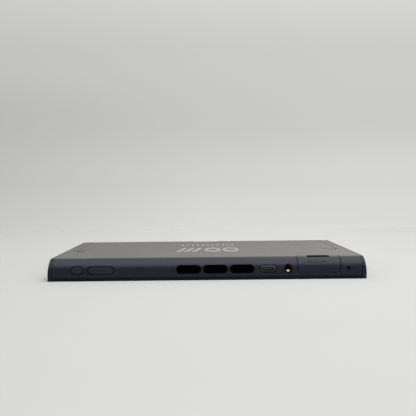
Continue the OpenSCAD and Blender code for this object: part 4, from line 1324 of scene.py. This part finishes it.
@dataclass
class Cooling(SubAssembly):
    """Fan, fins and heat pipe."""

    edges: ClassVar[Edges] = {
        "vent_duct": (FinishCard.PITCH, 0.0),
        "fin_stack": (FinishCard.FINS, 0.0),
        "heat_pipe": (FinishCard.COPPER, 0.15),
        "heat_spreader": (FinishCard.COPPER, 0.1),
        "fan_housing": (FinishCard.BLACK, 0.08),
        "fan_cover": (FinishCard.ALLOY, 0.0),
        "fan_rotor": (FinishCard.BLACK, 0.0),
        "fan_shaft": (FinishCard.STEEL, 0.0),
        "fan_bearing": (FinishCard.BRONZE, 0.0),
        "fan_stator": (FinishCard.COPPER, 0.0),
    }


@dataclass
class Electronics(SubAssembly):
    """Boards, chips, battery, speakers and the small card readers."""

    edges: ClassVar[Edges] = {
        "main_board": (FinishCard.BOARD, 0.0),
        "processor": (FinishCard.CHIP, 0.08),
        "memory_chips": (FinishCard.CHIP, 0.06),
        "board_shield": (FinishCard.TIN, 0.1),
        "battery": (FinishCard.WRAP, 0.3),
        "left_speaker": (FinishCard.BLACK, 0.15),
        "right_speaker": (FinishCard.BLACK, 0.15),
        "speaker_mesh": (FinishCard.DARK_STEEL, 0.0),
        "memory_card_slot": (FinishCard.TIN, 0.05),
        "antennas": (FinishCard.GOLD, 0.0),
    }


# ---------------------------------------------------------------- studio


@dataclass
class Studio:
    """Floor, sweep, lamps and camera; the floor and the sweep carry painted light.

    Sizes are in metres and angles in degrees. A ladder of stops gives a brightness at each
    height, and a pair of pairs gives the two ends of a range and the values at them.
    """

    camera_at: Point = (-0.0029, -0.4287, 0.0585)
    lens: float = 52.17
    sensor: float = 36.0
    yaw: float = 0.553
    pitch: float = 2.137
    roll: float = 0.523
    clip: Pair = (0.01, 20.0)
    floor_half: float = 2.5
    wall_y: float = 0.360
    wall_top: float = 2.2
    overlap: float = 0.02
    floor_colour: Colour = (0.745, 0.744, 0.728)
    # painted light on the floor: its colour grows lighter towards the back and darker at the sides
    floor_rise: Pair = (0.964, 1.18)
    floor_sides: tuple[tuple[Pair, Pair], ...] = (((-0.28, 0.0), (0.90, 1.0)), ((0.12, 0.28), (1.0, 0.93)))
    floor_from: float = -0.35
    # painted light: the floor in reflections shows this share of its colour
    floor_mirrored: float = 0.27
    cloud_scale: float = 14.0
    cloud_dip: float = 0.985
    floor_roughness: float = 0.7
    floor_specular: float = 0.05
    view_half: float = 0.28
    # painted light on the sweep: how bright it glows at each height and to each side, for the camera and,
    # separately, for mirrors
    wall_stops: Outline = field(default_factory=lambda: [
        (0.0, 0.71), (0.012, 0.69), (0.03, 0.675), (0.065, 0.635), (0.145, 0.565), (0.22, 0.585),
        (0.32, 0.66)])
    wall_sides: Outline = field(default_factory=lambda: [
        (0.0, 0.10), (0.03, 0.11), (0.066, 0.115), (0.144, 0.09), (0.22, 0.055), (0.32, 0.05)])
    wall_left: Pair = (-1.6, 0.0)
    wall_right: Pair = (0.0, 0.6)
    wall_right_to: float = 0.19
    wall_low_right: tuple[Pair, Pair] = ((0.0, 0.1), (0.15, 1.0))
    wall_tint: Colour = (1.0, 1.0, 0.975)
    mirrored_tint: Colour = (1.0, 0.975, 0.90)
    mirrored_sides: Pair = (0.76, 1.20)
    wall_mirrored: Outline = field(default_factory=lambda: [
        (0.0, 0.36), (0.03, 0.44), (0.07, 0.67), (0.16, 0.88), (0.35, 1.10), (2.2, 1.45)])
    room_mirrored: Outline = field(default_factory=lambda: [
        (0.0, 0.32), (0.17, 0.78), (0.4, 1.2), (0.8, 2.0), (1.0, 1.75)])
    room_tint: Colour = (0.97, 0.99, 1.0)
    room_sides: tuple[Pair, Pair] = ((-0.3, 0.3), (0.88, 1.08))
    room_seen: tuple[Pair, Pair] = ((-0.1, 0.9), (0.56, 0.85))
    plain_light: tuple[Colour, float] = ((0.98, 0.99, 1.0), 0.40)
    lamps: tuple[tuple[str, Point, Point, float, float], ...] = (
        ("top_softbox", (0.35, -0.35, 1.3), (0.05, 0.0, 0.0), 1.2, 12.0),
        ("front_softbox", (0.4, -1.3, 0.7), (0.0, 0.0, 0.0), 0.9, 3.6),
    )

    def place_camera(self) -> None:
        """Makes the camera at the wanted viewing angle."""
        data = bpy.data.cameras.new("view_camera")
        data.lens, data.sensor_width, data.sensor_fit = self.lens, self.sensor, "HORIZONTAL"
        data.clip_start, data.clip_end = self.clip
        camera = bpy.data.objects.new("view_camera", data)
        yaw, pitch, roll = (math.radians(a) for a in (self.yaw, self.pitch, self.roll))
        ahead = Vector((math.sin(yaw) * math.cos(pitch), math.cos(yaw) * math.cos(pitch), -math.sin(pitch)))
        right = ahead.cross(Vector((0, 0, 1))).normalized()
        up = right.cross(ahead)
        c, s = math.cos(roll), math.sin(roll)
        right, up = right * c - up * s, up * c + right * s
        turn = Matrix((right, up, -ahead)).transposed().to_4x4()
        camera.matrix_world = Matrix.Translation(self.camera_at) @ turn
        bpy.context.scene.collection.objects.link(camera)
        bpy.context.scene.camera = camera

    @staticmethod
    def by_ray(bench: Bench, light: object, mirrored: object, seen: object) -> NodeSocket:
        """Chooses a shader by what kind of ray asks for it.

        Args:
            bench: The material's bench.
            light: Shader for light that falls on the object.
            mirrored: Shader for rays from mirrors and through glass.
            seen: Shader for rays from the camera.

        Returns:
            The chosen shader.
        """
        path = bench.add("ShaderNodeLightPath")
        sharp = bench.maths("MAXIMUM", path.outputs["Is Glossy Ray"], path.outputs["Is Transmission Ray"])
        result = light
        for share, shader in ((sharp, mirrored), (path.outputs["Is Camera Ray"], seen)):
            choice = bench.add("ShaderNodeMixShader")
            bench.join(share, choice.inputs[0])
            bench.join(result, choice.inputs[1])
            bench.join(shader, choice.inputs[2])
            result = choice.outputs[0]
        return result

    @staticmethod
    def ladder(bench: Bench, where: NodeSocket, stops: Outline, tint: Colour) -> NodeSocket:
        """A colour that changes smoothly along a value.

        Args:
            bench: The material's bench.
            where: The value.
            stops: Pairs of a value and a brightness.
            tint: Colour of brightness 1.

        Returns:
            The colour.
        """
        ramp = bench.add("ShaderNodeValToRGB")
        ramp.color_ramp.interpolation = "EASE"
        last = stops[-1][0]
        elements = ramp.color_ramp.elements
        while len(elements) < len(stops):
            elements.new(0.5)
        for element, (value, grey) in zip(elements, stops):
            element.position = value / last
            element.color = (*(grey * c for c in tint), 1.0)
        bench.join(bench.times(where, 1.0 / last), ramp.inputs[0])
        return ramp.outputs[0]

    @staticmethod
    def scaled(bench: Bench, colour: NodeSocket, factor: object) -> NodeSocket:
        """Makes a colour brighter or darker.

        Args:
            bench: The material's bench.
            colour: The colour.
            factor: What it is multiplied by.

        Returns:
            The new colour.
        """
        node = bench.add("ShaderNodeVectorMath", operation="SCALE")
        bench.join(colour, node.inputs[0])
        bench.feed(node.inputs["Scale"], factor)
        return node.outputs[0]

    @staticmethod
    def panel(name: str, corners: Iterable[Point], material: Material) -> bpy.types.Object:
        """Makes one flat sheet of the studio.

        Args:
            name: Its name.
            corners: Its corners in metres.
            material: Its material.

        Returns:
            Its object.
        """
        bm = bmesh.new()
        bm.faces.new([bm.verts.new(corner) for corner in corners])
        obj = bpy.data.objects.new(name, to_mesh(name, bm))
        obj.data.materials.append(material)
        bpy.context.scene.collection.objects.link(obj)
        return obj

    def build_floor(self) -> None:
        """Makes the floor, which keeps the object's shadow; its colour carries painted light, lighter
        towards the back, darker at the sides and darker in reflections.
        """
        half, far = self.floor_half, self.wall_y
        material, bench = start_material("pale_table")
        shader = bench.add("ShaderNodeBsdfPrincipled")
        bench.join(shader.outputs[0], bench.add("ShaderNodeOutputMaterial").inputs[0])
        cloud = bench.spread(bench.noise(bench.place(), self.cloud_scale, detail=4.0), *CLOUD_RANGE)
        shade = tuple(c * self.cloud_dip for c in self.floor_colour)
        x, y, _ = bench.axes(bench.place())
        # painted light: lighter towards the back, darker at the sides, darker in reflections
        rise = bench.spread(y, self.floor_from, far, *self.floor_rise)
        for reach, share in self.floor_sides:
            rise = bench.times(rise, bench.spread(x, *reach, *share))
        path = bench.add("ShaderNodeLightPath")
        dim = bench.spread(path.outputs["Is Glossy Ray"], 0.0, 1.0, 1.0, self.floor_mirrored)
        paper = bench.mix(cloud, self.floor_colour, shade)
        bench.join(self.scaled(bench, paper, bench.times(rise, dim)), shader.inputs["Base Color"])
        shader.inputs["Roughness"].default_value = self.floor_roughness
        shader.inputs["Specular IOR Level"].default_value = self.floor_specular
        behind = far + self.overlap
        outline = [(-half, -half), (half, -half), (half, behind), (-half, behind)]
        floor = self.panel("floor", [(u, v, 0.0) for u, v in outline], material)

    def build_wall(self) -> None:
        """Makes the sweep behind the object, which the plain light of the room passes through. For the
        camera and for mirrors it glows with painted light that changes with height and side, though it is
        no lamp.
        """
        half, top, foot, side = self.floor_half, self.wall_top, -self.overlap, self.view_half
        material, bench = start_material("pale_sweep")
        x, _, z = bench.axes(bench.place())
        left = bench.spread(x, -side, 0.0, *self.wall_left)
        right = bench.spread(x, 0.0, self.wall_right_to, *self.wall_right)
        heights, shares = self.wall_low_right
        across = bench.maths("ADD", left, bench.times(right, bench.spread(z, *heights, *shares)))
        share = bench.times(across, self.ladder(bench, z, self.wall_sides, WHITE))
        # painted light: the sweep's glow for mirrors and for the camera, by height and side
        glows = []
        for stops, tint, aside in (
            (self.wall_mirrored, self.mirrored_tint, bench.spread(x, -side, side, *self.mirrored_sides)),
            (self.wall_stops, self.wall_tint, bench.maths("ADD", share, 1.0)),
        ):
            glow = bench.add("ShaderNodeEmission")
            bench.join(self.scaled(bench, self.ladder(bench, z, stops, tint), aside), glow.inputs[0])
            glows.append(glow.outputs[0])
        through = bench.add("ShaderNodeBsdfTransparent").outputs[0]
        chosen = self.by_ray(bench, through, *glows)
        bench.join(chosen, bench.add("ShaderNodeOutputMaterial").inputs[0])
        outline = [(-half, foot), (half, foot), (half, top), (-half, top)]
        wall = self.panel("backdrop", [(u, self.wall_y, v) for u, v in outline], material)

    def light_world(self) -> None:
        """Sets the world: plain light on the object, a pale room in views and mirrors."""
        world = bpy.data.worlds.new("plain_room")
        bpy.context.scene.world = world
        world.use_nodes = True
        bench = Bench(world.node_tree)
        light, room, view = (bench.add("ShaderNodeBackground") for _ in range(3))
        x, _, z = bench.axes(bench.add("ShaderNodeTexCoord").outputs["Generated"])
        light.inputs[0].default_value = rgba(self.plain_light[0])
        light.inputs[1].default_value = self.plain_light[1]
        (reach, aside), (heights, levels) = self.room_sides, self.room_seen
        glow = self.ladder(bench, z, self.room_mirrored, self.room_tint)
        bench.join(self.scaled(bench, glow, bench.spread(x, *reach, *aside)), room.inputs[0])
        bench.join(bench.spread(z, *heights, *levels), view.inputs[0])
        chosen = self.by_ray(bench, light.outputs[0], room.outputs[0], view.outputs[0])
        bench.join(chosen, bench.add("ShaderNodeOutputWorld").inputs[0])

    def add_lamp(self, name: str, at: Point, aim: Point, size: float, power: float) -> None:
        """Adds one soft square lamp, which mirrors don't show.

        Args:
            name: Its name.
            at: Where it is.
            aim: What it looks at.
            size: Its width in metres.
            power: Its power in watts.
        """
        data = bpy.data.lights.new(name, "AREA")
        data.shape, data.size, data.energy = "SQUARE", size, power
        lamp = bpy.data.objects.new(name, data)
        lamp.location = at
        lamp.visible_glossy = False
        lamp.rotation_euler = (Vector(aim) - Vector(at)).to_track_quat("-Z", "Y").to_euler()
        bpy.context.scene.collection.objects.link(lamp)

    def build(self) -> None:
        """Builds the whole studio."""
        self.place_camera()
        self.build_floor()
        self.build_wall()
        self.light_world()
        for lamp in self.lamps:
            self.add_lamp(*lamp)
        bpy.context.scene.view_settings.view_transform = "Standard"
        LOG.info("studio: floor, backdrop, two lamps, one camera")


def main() -> None:
    """Builds the tablet's looks in order."""
    logging.basicConfig(level=logging.INFO, format="%(name)s %(message)s")
    finishes = FinishCard()
    groups = (DisplaySide, RearShell, ControllerRails, Stand, CardBay, Keys, Sockets, Cooling, Electronics)
    for group in groups:
        assembly = group(finishes)
        assembly.dress()
        assembly.build()
        LOG.info("sub-assembly %s done", group.__name__)
    Studio().build()
    bpy.context.view_layer.update()


if __name__ == "__main__":
    main()
